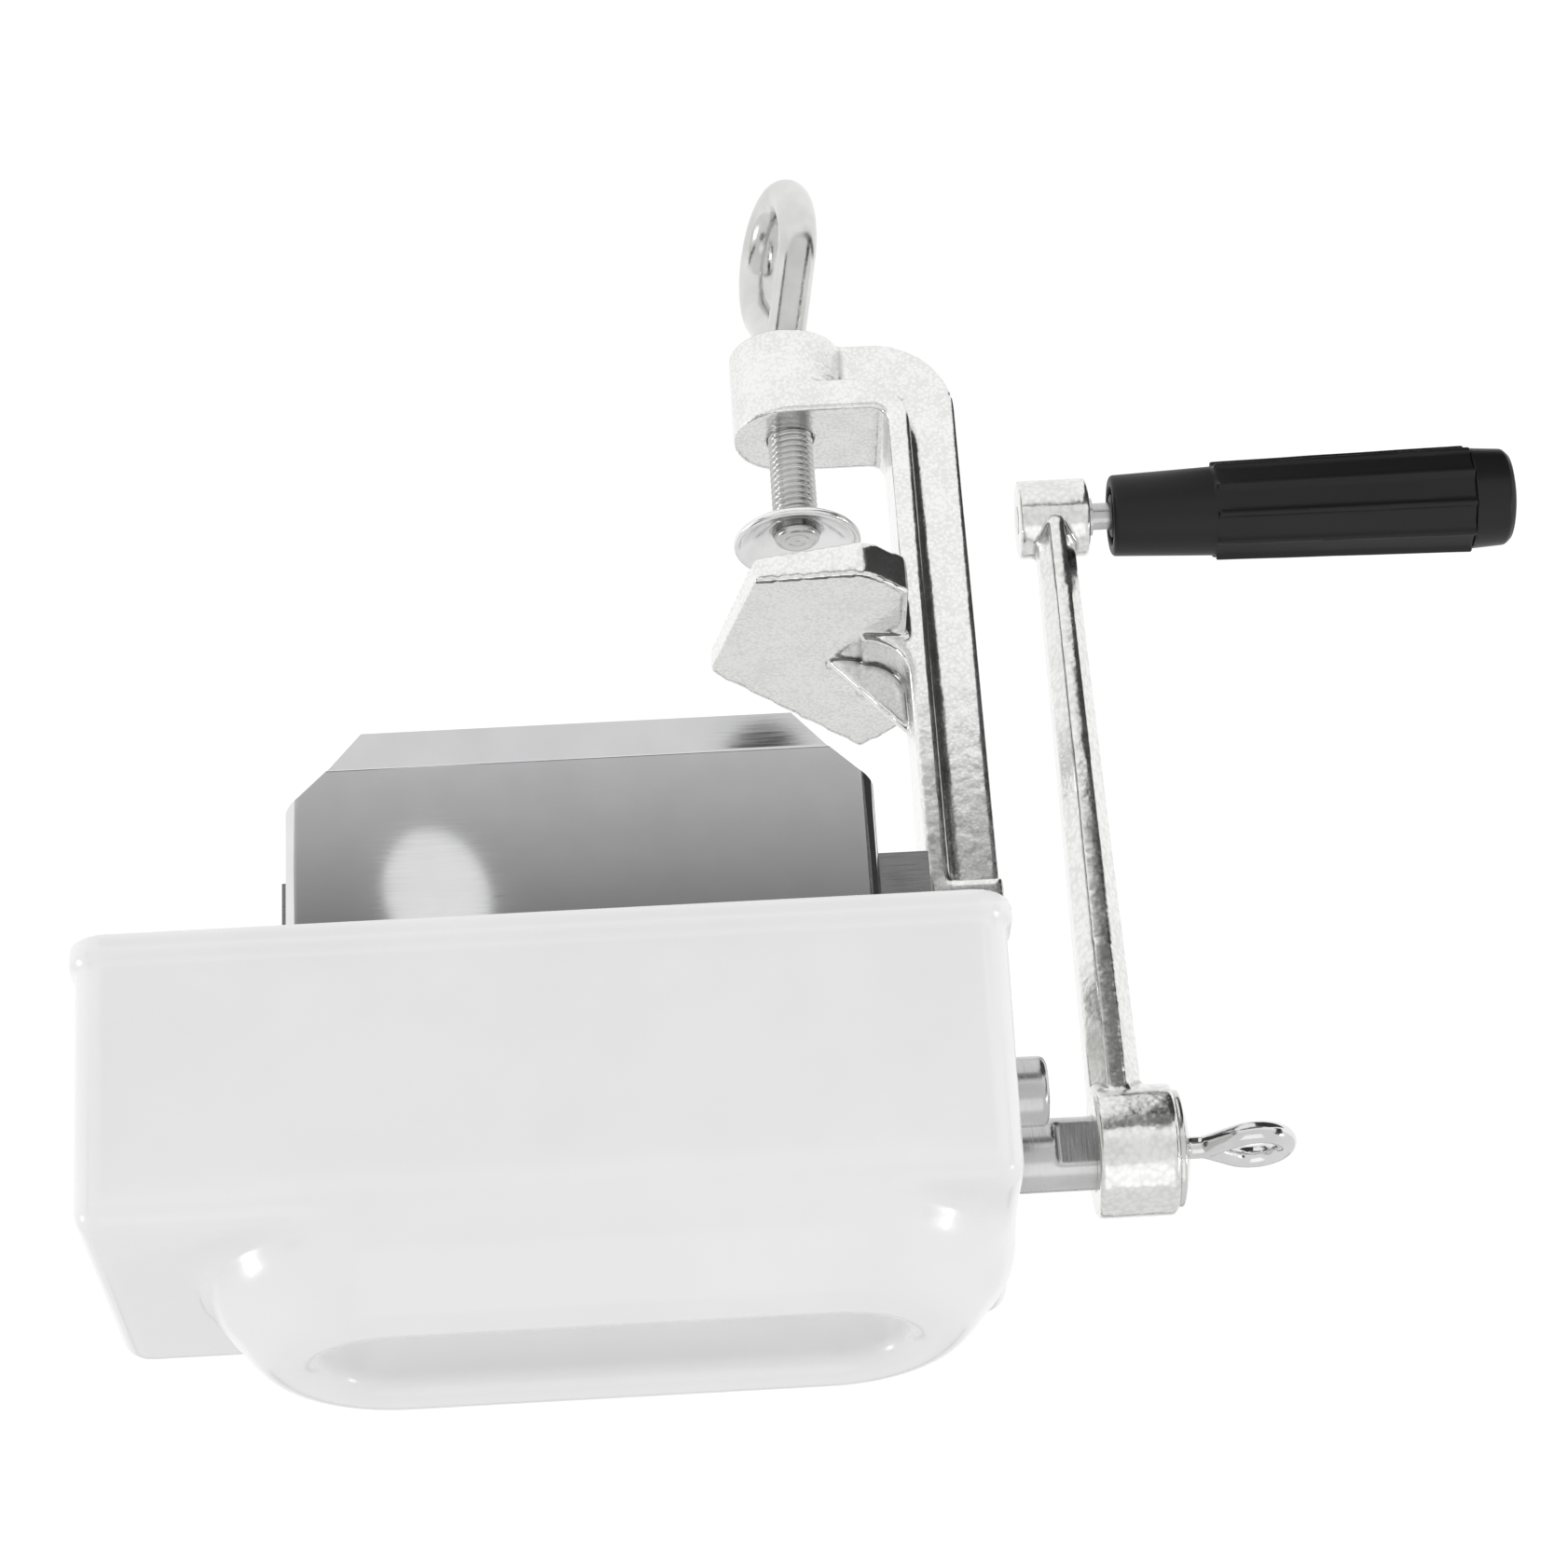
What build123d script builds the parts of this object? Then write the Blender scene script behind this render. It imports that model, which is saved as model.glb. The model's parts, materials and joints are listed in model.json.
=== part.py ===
"""Hand-cranked meat tenderizer with two blade rollers, a hopper cover and a table clamp.

Millimetres, +Z up. The origin is on the clamp screw's axis, in the underside of the foot plate that
rests on the table. The rollers run along X, the crank is at -X and the discharge chute faces -Y.
"""

from build123d import *
import math
import os

# ---------------------------------------------------------------- clearances
RUN_GAP = 0.05           # radial gap of a shaft in its bush, or of a stacked part on its shaft
SEAT_GAP = 0.3           # between parts of different bodies that come close
COVER_GAP = 2.8          # between the hopper cover and the frame inside it
GEAR_BACKLASH = 0.2      # play at the pitch circle

# ---------------------------------------------------------------- clamp casting
THROAT_DEPTH = 20.9      # screw axis to the bar's inner face
THROAT_HEIGHT = 49.0     # foot underside to the lower arm
BAR_FLANGE = 4.8         # thickness of the bar's inner flange, along X
BAR_WIDTH = 25.0         # width of flange, arm and boss, along Y
WEB_DEPTH = 10.6         # how far the bar's stiffening web stands out of its flange
WEB_WIDTH = 9.0
WEB_FILLET = 2.2         # in the groove between flange and web
ARM_FLANGE = 7.7         # thickness of the lower arm's flange, along Z
BOSS_HEIGHT = 21.6
ARM_OUTER_RADIUS = 18.0  # of the web, where bar and lower arm meet
FLANGE_CORNER = 12.0     # of the flange there
ARM_INNER_RADIUS = 3.5
FOOT_FRONT = 37.3        # reach of the foot plate to the front and to the back
FOOT_SIDE = 20.6         # reach of the foot plate beyond the screw axis
FOOT_THICK = 9.0         # at the bar
FOOT_THIN = 4.5          # at the free side
FOOT_CORNER = 7.0
FOOT_FILLET = 9.0        # between bar and foot plate
GUSSET_LENGTH = 16.0
GUSSET_HEIGHT = 16.0
GUSSET_WIDTH = 2.6
SHOULDER_BELOW_AXIS = 38.5   # roller axes to the bottom edge of the two end plates
SHOULDER_DROP = 11.0     # height of the wide block where the bar's web ends

# ---------------------------------------------------------------- clamp screw and pad
SCREW_RADIUS = 4.95
SCREW_PITCH = 1.5
PAD_Z = -22.0            # the pad's rim at rest
PAD_RADIUS = 13.8
PAD_THICK = 1.6
PAD_DISH = 3.2
PAD_BORE = 4.2
SCREW_NECK_RADIUS = 3.6
SCREW_HEAD_RADIUS = 4.9
SCREW_HEAD_HEIGHT = 2.0
EYE_ROD = 4.3            # radius of the clamp screw's eye
EYE_LOOP = 14.2          # radius of the eye's round end, to the rod's centre
EYE_DROP = 45.0          # boss underside to the eye's lowest point
EYE_TURN = 72.0          # angle of the eye's plane from the XZ plane

# ---------------------------------------------------------------- frame, rollers and gears
AXIS_Z = 116.0           # height of both roller axes
GEAR_TEETH = 22
GEAR_MODULE = 1.5        # pitch diameter = distance between the two roller axes
GEAR_WIDTH = 12.0
GEAR_HUB_RADIUS = 9.0
GEAR_HUB_LENGTH = 2.0
PRESSURE_ANGLE = 20.0
CRANK_PLATE = 8.3        # thickness of the crank-side end plate
GEAR_PLATE = 6.0
FRAME_SPAN = 130.0       # between the two end plates
PLATE_MARGIN = 16.5      # roller axis to the end plates' edge
PLATE_TOP_RADIUS = 9.0
PLATE_BEVEL = 3.0        # on the crank-side plate's top edge, under the cover's rounded corner
PLATE_LOW_RADIUS = 8.0
BLADE_ZONE_START = 8.9   # from the crank-side plate to the first end spacer
BLADE_ZONE_END = 4.1     # from the last end spacer to the gear-side plate
BLADE_PITCH = 8.0
BLADE_THICK = 1.2
BLADE_RADIUS = 17.3
BLADE_ROOT = 13.2
BLADE_TEETH = 16
TOOTH_TIP_SHARE = 0.14   # half the flat tip, as a share of the tooth pitch
TOOTH_ROOT_SHARE = 0.42  # half the tooth at its root
END_SPACER = 1.5         # shortest spacer at a roller's end
SPACER_RADIUS = 10.0
HEX_FLATS = 12.0         # across flats of the shafts' middle
DRIVE_JOURNAL = 7.6      # radius of the drive shaft at the crank side
FRONT_JOURNAL = 7.0      # radius of the front shaft at the crank side
GEAR_JOURNAL = 5.9       # radius of both shafts in the gear-side plate
GEAR_SEAT = 5.0          # radius of both shafts in their gears
BUSH_WALL = 2.4
BUSH_FLANGE = 2.2        # how far a bush's flange stands out beyond its barrel
BUSH_FLANGE_THICK = 1.5
KEY_WIDTH = 3.0
KEY_HEIGHT = 2.4
CLIP_THICK = 1.0
CLIP_OUT = 2.2           # how far a retaining ring stands out of its shaft
CLIP_GROOVE = 0.7        # depth of its groove
SHAFT_TAIL = 2.5         # shaft left beyond the retaining ring

# ---------------------------------------------------------------- rails, combs and chute
RAIL_THICK = 6.0
RAIL_HEIGHT = 22.0
RAIL_BELOW_AXIS = 30.0   # roller axes to the rails' upper edge
RAIL_OUTSIDE = 4.5       # roller axis to a rail's outer face
RAIL_SCREW_RADIUS = 2.0
RAIL_SCREW_DEPTH = 9.0   # thread length in the rail's end
RAIL_SCREW_DROP = 4.0    # rail's upper edge to these screws
SCREW_CONE = 3.6         # radius of a countersunk head
COMB_THICK = 1.5
COMB_MARGIN = 3.5        # comb end to the end of the blade zone
COMB_FOOT = 8.0          # height of the comb's bolted strip below the rail's top
COMB_TIP_GAP = 1.5       # comb tip to spacer
FINGER_WIDTH = 5.0
CHUTE_THICK = 1.0
CHUTE_START = 1.0        # chute edge from the start of the blade zone
CHUTE_END = 0.6          # chute edge to the gear-side plate
CHUTE_BEND_Z = 40.0      # where the chute's lip begins
CHUTE_LIP = 7.4
CHUTE_LIP_ANGLE = 25.0
CHUTE_CLIP = 16.0        # the chute's cut corners
CHUTE_SIDE = 4.0         # its turned-back sides
CHUTE_SIDE_RADIUS = 2.2
COMB_SCREW_RADIUS = 1.9
COMB_SCREW_INSET = 14.0  # from the rail's ends
COMB_SCREW_HEAD = 3.6
COMB_SCREW_HEAD_HEIGHT = 2.2
COMB_SCREW_DROP = 4.5    # rail's upper edge to these screws

# ---------------------------------------------------------------- hopper cover
COVER_END_GAP = 11.5     # shaft ends to the cover's far wall
COVER_SIDE_GAP = 2.8     # gear tips to the cover's front and back walls
COVER_RISE = 26.7        # roller axes to the cover's top
COVER_WALL = 2.2
COVER_FALL = 33.6        # roller axes to the cover's lower edge
COVER_DRAFT = 1.0        # degrees
COVER_CORNER = 7.0
COVER_EDGE = 5.0
LIP_HEIGHT = 5.0
LIP_PROUD = 1.2
SLOT_INSET = 1.5         # end of the blade zone to the slot's end
SLOT_WIDTH = 30.0
RIM_RADIUS = 5.0         # round-over from slot to rim crest
COLLAR_HEIGHT = 18.1     # rim crest above the cover's top
COLLAR_SPREAD = 22.6     # from the slot's wall to the collar's foot
COLLAR_FOOT = 2.0        # height at which the collar's flank turns vertical, below the cover's top
THROAT_BLADE_GAP = 2.6   # above the blades
NOTCH_GAP = 1.2          # round the shafts, in the cover's crank-side wall

# ---------------------------------------------------------------- crank
STUB_STEP = 9.8          # cover to the step where the drive shaft's flats begin
STUB_FLATS = 11.6        # across the flats
HUB_OFFSET = 17.8        # cover to the hub
HUB_LENGTH = 16.5
HUB_RADIUS = 13.5
HUB_ROUND = 1.2
HUB_GAP = 0.1            # round the flats in the hub
FRONT_STUB = 6.3         # how far the front shaft stands out of the cover
STUB_ROUND = 1.5         # on the front shaft's end
CRANK_RADIUS = 152.0
ARM_X_FROM_HUB = 5.5     # hub's inner face to the arm's middle plane
ARM_THICK_HUB = 11.0
ARM_THICK_END = 8.0
ARM_DEPTH_HUB = 19.0
ARM_DEPTH_END = 15.5
ARM_RIDGE = 0.45         # share of the depth that the arm's flat middle takes
ARM_EDGE = 0.35          # share of the thickness that is left at its edges
BOSS_RADIUS = 8.75
BOSS_LENGTH = 15.5
BOSS_ROUND = 0.8
WASHER_RADIUS = 12.0
WASHER_THICK = 1.2
WASHER_DOME = 1.6
EYE2_THREAD = 3.0
EYE2_THREAD_LENGTH = 14.0
EYE2_NECK = 2.3
EYE2_NECK_LENGTH = 3.5
EYE2_LOOP = 6.4
EYE2_LENGTH = 22.5       # washer to the far end of the eye
GRIP_GAP = 5.2           # boss to grip
SPINDLE_RADIUS = 3.0
SPINDLE_COLLAR = 4.2
GRIP_LENGTH = 80.0
GRIP_NOSE = 23.0
GRIP_NOSE_RADIUS = 9.0
GRIP_NOSE_SWELL = 9.9
GRIP_RIB_RADIUS = 11.2   # over the ribs, at the nose end
GRIP_RIB_SWELL = 12.2    # over the ribs, at the far end
GRIP_RIBS = 10
GRIP_RIB_DEPTH = 1.0
RIB_TOP_SHARE = 0.06     # half a rib's top, as a share of the rib pitch
RIB_FOOT_SHARE = 0.14    # half a rib's foot
GRIP_CAP_LENGTH = 9.6
GRIP_CAP_RADIUS = 11.2
GRIP_CAP_END = 10.7
GRIP_CAP_PLUG = 5.5
GRIP_CAP_PLUG_LENGTH = 9.0
GRIP_NOSE_RECESS = 6.5
GRIP_RECESS_DEPTH = 2.5
RIVET_RADIUS = 5.0
RIVET_THICK = 1.6

# ---------------------------------------------------------------- derived places
AXIS_Y = GEAR_TEETH * GEAR_MODULE / 2
GEAR_TIP = AXIS_Y + GEAR_MODULE
FRAME_SHOULDER_Z = AXIS_Z - SHOULDER_BELOW_AXIS
PLATE_HALF = AXIS_Y + PLATE_MARGIN
RAIL_TOP = AXIS_Z - RAIL_BELOW_AXIS
RAIL_Z = RAIL_TOP - RAIL_HEIGHT
RAIL_Y = AXIS_Y + RAIL_OUTSIDE
RAIL_SCREW_Z = RAIL_TOP - RAIL_SCREW_DROP
COMB_SCREW_Z = RAIL_TOP - COMB_SCREW_DROP
PLATE_IN = -THROAT_DEPTH
PLATE_OUT = PLATE_IN - CRANK_PLATE
GEAR_PLATE_IN = PLATE_IN + FRAME_SPAN
GEAR_PLATE_OUT = GEAR_PLATE_IN + GEAR_PLATE
COVER_X0 = PLATE_OUT - COVER_GAP - COVER_WALL
COVER_LIP_Z = AXIS_Z - COVER_FALL
COVER_TOP = AXIS_Z + COVER_RISE
COVER_DEPTH = 2 * (AXIS_Y + GEAR_TIP + COVER_SIDE_GAP + COVER_WALL)
CEILING = COVER_TOP - COVER_WALL
PLATE_TOP = CEILING - SEAT_GAP
ZONE_X0 = PLATE_IN + BLADE_ZONE_START
ZONE_X1 = GEAR_PLATE_IN - BLADE_ZONE_END
ZONE_MID = (ZONE_X0 + ZONE_X1) / 2
BLADE_COUNT = int((ZONE_X1 - ZONE_X0 - 2 * END_SPACER) / BLADE_PITCH) + 1
SLOT_LENGTH = ZONE_X1 - ZONE_X0 - 2 * SLOT_INSET
GEAR_X0 = GEAR_PLATE_OUT + BUSH_FLANGE_THICK + SEAT_GAP
GEAR_X1 = GEAR_X0 + GEAR_WIDTH + GEAR_HUB_LENGTH
CLIP_X = GEAR_X1 + SEAT_GAP / 3
SHAFT_END = CLIP_X + CLIP_THICK + SHAFT_TAIL
COVER_X1 = SHAFT_END + COVER_END_GAP + COVER_WALL
COVER_MID = (COVER_X0 + COVER_X1) / 2
COVER_LENGTH = COVER_X1 - COVER_X0
ARM_TOP = -THROAT_HEIGHT
BOSS_BOTTOM = ARM_TOP - BOSS_HEIGHT
STEP_X = COVER_X0 - STUB_STEP
HUB_IN = COVER_X0 - HUB_OFFSET
HUB_OUT = HUB_IN - HUB_LENGTH
ARM_X = HUB_IN - ARM_X_FROM_HUB
BOSS_IN = ARM_X + BOSS_LENGTH / 2
BOSS_OUT = BOSS_IN - BOSS_LENGTH
GRIP_Z = AXIS_Z - CRANK_RADIUS
GRIP_IN = BOSS_OUT - GRIP_GAP
GRIP_OUT = GRIP_IN - GRIP_LENGTH
CAP_OUT = GRIP_OUT - GRIP_CAP_LENGTH
COMB_FACE = RAIL_Y + COMB_THICK
THROAT_BOTTOM = AXIS_Z + BLADE_RADIUS + THROAT_BLADE_GAP


# ---------------------------------------------------------------- helpers
def block(x0, x1, y0, y1, z0, z1):
    """A box between two corners."""
    return Pos((x0 + x1) / 2, (y0 + y1) / 2, (z0 + z1) / 2) * Box(x1 - x0, y1 - y0, z1 - z0)


def rod_x(x0, x1, radius, y, z):
    """A round rod along X."""
    return Pos((x0 + x1) / 2, y, z) * Rot(0, 90, 0) * Cylinder(radius, x1 - x0)


def rod_z(z0, z1, radius, x=0.0, y=0.0):
    """A round rod along Z."""
    return Pos(x, y, (z0 + z1) / 2) * Cylinder(radius, z1 - z0)


def turned_x(profile, y, z):
    """A turned part along X from (x, radius) corners."""
    outline = [(x, r) for x, r in profile]
    face = make_face(Polyline(*outline, close=True))
    return Pos(0, y, z) * revolve(face, Axis.X)


def turned_z(profile):
    """A turned part on the Z axis from (radius, z) corners."""
    face = make_face(Polyline(*[(r, 0, z) for r, z in profile], close=True))
    return revolve(face, Axis.Z)


def hex_x(x0, x1, flats, y, z):
    """A hexagonal bar along X with one corner up."""
    hexagon = Plane(origin=(x0, y, z), x_dir=(0, 1, 0), z_dir=(1, 0, 0)) * RegularPolygon(
        flats / 2, 6, major_radius=False
    )
    return extrude(hexagon, x1 - x0)


def slab_x(points, x0, x1):
    """A plate between x0 and x1 from (y, z) corners."""
    face = Plane(origin=(x0, 0, 0), x_dir=(0, 1, 0), z_dir=(1, 0, 0)) * make_face(
        Polyline(*points, close=True)
    )
    return extrude(face, x1 - x0)


def slab_y(points, y0, y1):
    """A plate between y0 and y1 from (x, z) corners."""
    face = make_face(Polyline(*[(x, y0, z) for x, z in points], close=True))
    return extrude(face, y1 - y0, dir=(0, 1, 0))


def edges_along(solid, axis, test):
    """The straight edges along an axis whose centre passes a test."""
    return solid.edges().filter_by(axis).filter_by(lambda edge: test(edge.center()))


def group(solids):
    """Several separate solids in one node."""
    return Compound([solid for item in solids for solid in item.solids()])


def oblong(profile, length):
    """Sweeps a (distance, z) profile round an oblong spine of a given length between end centres."""
    face = make_face(profile)
    side = Pos(0, -length / 2, 0) * extrude(face, length, dir=(0, 1, 0))
    end = Pos(0, length / 2, 0) * revolve(face, Axis.Z, revolution_arc=180)
    half = side + end
    return Rot(0, 0, 90) * (half + Rot(0, 0, 180) * half)


# ---------------------------------------------------------------- clamp frame
def foot_plate():
    """The wedge-shaped upper jaw that rests on the table."""
    corners = [
        (PLATE_IN, -0.8 * FOOT_FRONT),
        (-0.6 * FOOT_SIDE, -FOOT_FRONT),
        (0.52 * FOOT_SIDE, -0.86 * FOOT_FRONT),
        (FOOT_SIDE, 0.18 * FOOT_FRONT),
        (-0.6 * FOOT_SIDE, FOOT_FRONT),
        (PLATE_IN, 0.72 * FOOT_FRONT),
    ]
    plan = make_face(Polyline(*corners, close=True))
    plan = fillet(plan.vertices().sort_by(Axis.Y)[0], FOOT_CORNER)
    plan = fillet(plan.vertices().sort_by(Axis.X)[-1], FOOT_CORNER / 2)
    plate = extrude(plan, FOOT_THICK)
    reach = FOOT_SIDE - PLATE_IN
    above = [
        (PLATE_IN, FOOT_THICK),
        (PLATE_IN + reach, FOOT_THIN),
        (PLATE_IN + reach, 2 * FOOT_THICK),
        (PLATE_IN, 2 * FOOT_THICK),
    ]
    plate -= slab_y(above, -2 * FOOT_FRONT, 2 * FOOT_FRONT)
    return plate


def foot_top(x):
    """Height of the foot plate's sloping top."""
    return FOOT_THICK - (FOOT_THICK - FOOT_THIN) * (x - PLATE_IN) / (FOOT_SIDE - PLATE_IN)


def foot_corner_fillet():
    """The concave fillet between bar and foot plate, on the throat side and at the front and back."""
    r = FOOT_FILLET
    half = BAR_WIDTH / 2
    low = foot_top(PLATE_IN + r) - 1
    solid = block(PLATE_IN - 1, PLATE_IN + r, -half, half, low, FOOT_THICK + r)
    hollow = Pos(PLATE_IN + r, 0, FOOT_THICK + r) * Rot(90, 0, 0) * Cylinder(r, 2 * BAR_WIDTH)
    return solid - hollow


def gusset():
    """The thin rib that ties foot plate and bar together."""
    points = [
        (PLATE_IN - 1, foot_top(PLATE_IN) - 1),
        (PLATE_IN + GUSSET_LENGTH, foot_top(PLATE_IN + GUSSET_LENGTH) - 1),
        (PLATE_IN + GUSSET_LENGTH, foot_top(PLATE_IN + GUSSET_LENGTH) + 0.6),
        (PLATE_IN + 1, FOOT_THICK + GUSSET_HEIGHT),
        (PLATE_IN - 1, FOOT_THICK + GUSSET_HEIGHT),
    ]
    return slab_y(points, -GUSSET_WIDTH / 2, GUSSET_WIDTH / 2)


def end_plate(x0, x1):
    """An end plate that carries the four bushes, with round corners."""
    plate = block(x0, x1, -PLATE_HALF, PLATE_HALF, FRAME_SHOULDER_Z, PLATE_TOP)
    top = edges_along(plate, Axis.X, lambda c: c.Z > AXIS_Z)
    plate = fillet(top, PLATE_TOP_RADIUS)
    low = edges_along(plate, Axis.X, lambda c: c.Z < FRAME_SHOULDER_Z + 1)
    return fillet(low, PLATE_LOW_RADIUS)


def screw_holes(x_face, outward):
    """Countersunk holes for the rail screws, from an end plate's outer face."""
    y = RAIL_Y - RAIL_THICK / 2
    cut = []
    for side in (-1, 1):
        cut.append(rail_screw_shape(x_face, outward, side * y, RUN_GAP))
    return group(cut)


def rail_screw_shape(x_face, outward, y, gap):
    """A countersunk screw whose flat head lies in an end plate's outer face."""
    plate = CRANK_PLATE if outward < 0 else GEAR_PLATE
    cone = SCREW_CONE - RAIL_SCREW_RADIUS
    r = RAIL_SCREW_RADIUS + gap
    length = plate + RAIL_SCREW_DEPTH
    profile = [
        (x_face, 0),
        (x_face, SCREW_CONE + gap),
        (x_face - outward * cone, r),
        (x_face - outward * length, r),
        (x_face - outward * length, 0),
    ]
    return turned_x(profile, y, RAIL_SCREW_Z)


def clamp_frame():
    """One casting: crank-side end plate, bar, foot plate, gusset, lower arm and screw boss."""
    half = BAR_WIDTH / 2
    flange_out = PLATE_IN - BAR_FLANGE
    web_out = flange_out - WEB_DEPTH
    arm_low = ARM_TOP - ARM_FLANGE
    shoulder_low = FRAME_SHOULDER_Z - SHOULDER_DROP

    flange = block(flange_out, PLATE_IN, -half, half, arm_low, FRAME_SHOULDER_Z + 1)
    arm = block(flange_out, 0, -half, half, arm_low, ARM_TOP)
    body = flange + arm
    corner = edges_along(body, Axis.Y, lambda c: c.Z < arm_low + 1 and c.X < flange_out + 1)
    body = fillet(corner, FLANGE_CORNER)
    inner = edges_along(body, Axis.Y, lambda c: abs(c.Z - ARM_TOP) < 1 and abs(c.X - PLATE_IN) < 1)
    body = fillet(inner, ARM_INNER_RADIUS)

    web = block(web_out, flange_out + 1, -WEB_WIDTH / 2, WEB_WIDTH / 2, BOSS_BOTTOM, shoulder_low + 1)
    web += block(web_out, -half / 2, -WEB_WIDTH / 2, WEB_WIDTH / 2, BOSS_BOTTOM, arm_low + 1)
    corner = edges_along(web, Axis.Y, lambda c: c.Z < BOSS_BOTTOM + 1 and c.X < web_out + 1)
    web = fillet(corner, ARM_OUTER_RADIUS)
    body += web

    shoulder = block(web_out, PLATE_IN, -half, half, shoulder_low, FRAME_SHOULDER_Z + 1)
    crest = edges_along(shoulder, Axis.Y, lambda c: c.Z > FRAME_SHOULDER_Z and c.X < web_out + 1)
    shoulder = fillet(crest, PLATE_OUT - web_out)
    body += shoulder
    groove = edges_along(body, Axis.Z, lambda c: abs(c.X - flange_out) < 0.1 and abs(c.Y) < half - 1)
    body = fillet(groove, WEB_FILLET)

    body += rod_z(BOSS_BOTTOM, ARM_TOP, half)
    bevel = [
        (PLATE_OUT - 1, PLATE_TOP - PLATE_BEVEL - 1),
        (PLATE_OUT + PLATE_BEVEL + 1, PLATE_TOP + 1),
        (PLATE_OUT - 1, PLATE_TOP + 1),
    ]
    body += end_plate(PLATE_OUT, PLATE_IN) - slab_y(bevel, -2 * PLATE_HALF, 2 * PLATE_HALF)
    body += foot_plate() + foot_corner_fillet() + gusset()
    for y, journal in ((AXIS_Y, DRIVE_JOURNAL), (-AXIS_Y, FRONT_JOURNAL)):
        body -= rod_x(PLATE_OUT - 1, PLATE_IN + 1, journal + BUSH_WALL, y, AXIS_Z)
    body -= rod_z(BOSS_BOTTOM - 1, ARM_TOP + 1, SCREW_RADIUS + RUN_GAP)
    body -= screw_holes(PLATE_OUT, -1)
    return body


def gear_side_plate():
    """The far end plate, between blades and gears."""
    plate = end_plate(GEAR_PLATE_IN, GEAR_PLATE_OUT)
    for y in (AXIS_Y, -AXIS_Y):
        bore = GEAR_JOURNAL + BUSH_WALL
        plate -= rod_x(GEAR_PLATE_IN - 1, GEAR_PLATE_OUT + 1, bore, y, AXIS_Z)
    plate -= screw_holes(GEAR_PLATE_OUT, 1)
    return plate


# ---------------------------------------------------------------- rails, combs, chute and screws
def rail(side):
    """A flat bar between the end plates, tapped at both ends."""
    y0, y1 = sorted((side * RAIL_Y, side * (RAIL_Y - RAIL_THICK)))
    bar = block(PLATE_IN, GEAR_PLATE_IN, y0, y1, RAIL_Z, RAIL_Z + RAIL_HEIGHT)
    y = side * (RAIL_Y - RAIL_THICK / 2)
    bar -= rail_screw_shape(PLATE_OUT, -1, y, 0)
    bar -= rail_screw_shape(GEAR_PLATE_OUT, 1, y, 0)
    for x in comb_screw_places():
        bar -= comb_screw_hole(x, side, 0)
    return bar


def rail_screws():
    """Four countersunk screws through the end plates into the rails."""
    y = RAIL_Y - RAIL_THICK / 2
    screws = []
    for side in (-1, 1):
        screws.append(rail_screw_shape(PLATE_OUT, -1, side * y, 0))
        screws.append(rail_screw_shape(GEAR_PLATE_OUT, 1, side * y, 0))
    return group(screws)


def comb_screw_places():
    """X of the screws that hold combs and chute to the rails."""
    return (ZONE_X0 + COMB_SCREW_INSET, ZONE_X1 - COMB_SCREW_INSET)


def comb_screw_hole(x, side, gap):
    """The shank of a comb screw, through rail, comb and chute."""
    length = RAIL_THICK + COMB_THICK + CHUTE_THICK
    y = side * (RAIL_Y - RAIL_THICK + length / 2)
    return Pos(x, y, COMB_SCREW_Z) * Rot(90, 0, 0) * Cylinder(COMB_SCREW_RADIUS + gap, length)


def comb_screws(side, cover_thick):
    """Pan-head screws of one comb; the front ones hold the chute as well."""
    screws = []
    for x in comb_screw_places():
        face = COMB_FACE + cover_thick
        inner = RAIL_Y - RAIL_THICK
        shank_length = face - inner
        y = side * (inner + shank_length / 2)
        shank = Pos(x, y, COMB_SCREW_Z) * Rot(90, 0, 0) * Cylinder(COMB_SCREW_RADIUS, shank_length)
        head_y = side * (face + COMB_SCREW_HEAD_HEIGHT / 2)
        head = Cylinder(COMB_SCREW_HEAD, COMB_SCREW_HEAD_HEIGHT)
        screws.append(shank + Pos(x, head_y, COMB_SCREW_Z) * Rot(90, 0, 0) * head)
    return group(screws)


def finger_places(blade_xs):
    """X of the gaps between neighbouring blades of one roller."""
    return [(a + b) / 2 for a, b in zip(blade_xs, blade_xs[1:])]


def comb(side, blade_xs):
    """A strip whose fingers reach up between the blades and strip the meat off them."""
    y0, y1 = sorted((side * RAIL_Y, side * COMB_FACE))
    top = RAIL_TOP
    strip = block(ZONE_X0 + COMB_MARGIN, ZONE_X1 - COMB_MARGIN, y0, y1, top - COMB_FOOT, top)
    reach = abs(COMB_FACE - AXIS_Y)
    tip = AXIS_Z - math.sqrt(SPACER_RADIUS**2 - reach**2) - COMB_TIP_GAP
    for x in finger_places(blade_xs):
        finger = block(x - FINGER_WIDTH / 2, x + FINGER_WIDTH / 2, y0, y1, top - 1, tip)
        strip += finger
    for x in comb_screw_places():
        strip -= comb_screw_hole(x, side, 0)
    return strip


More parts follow.
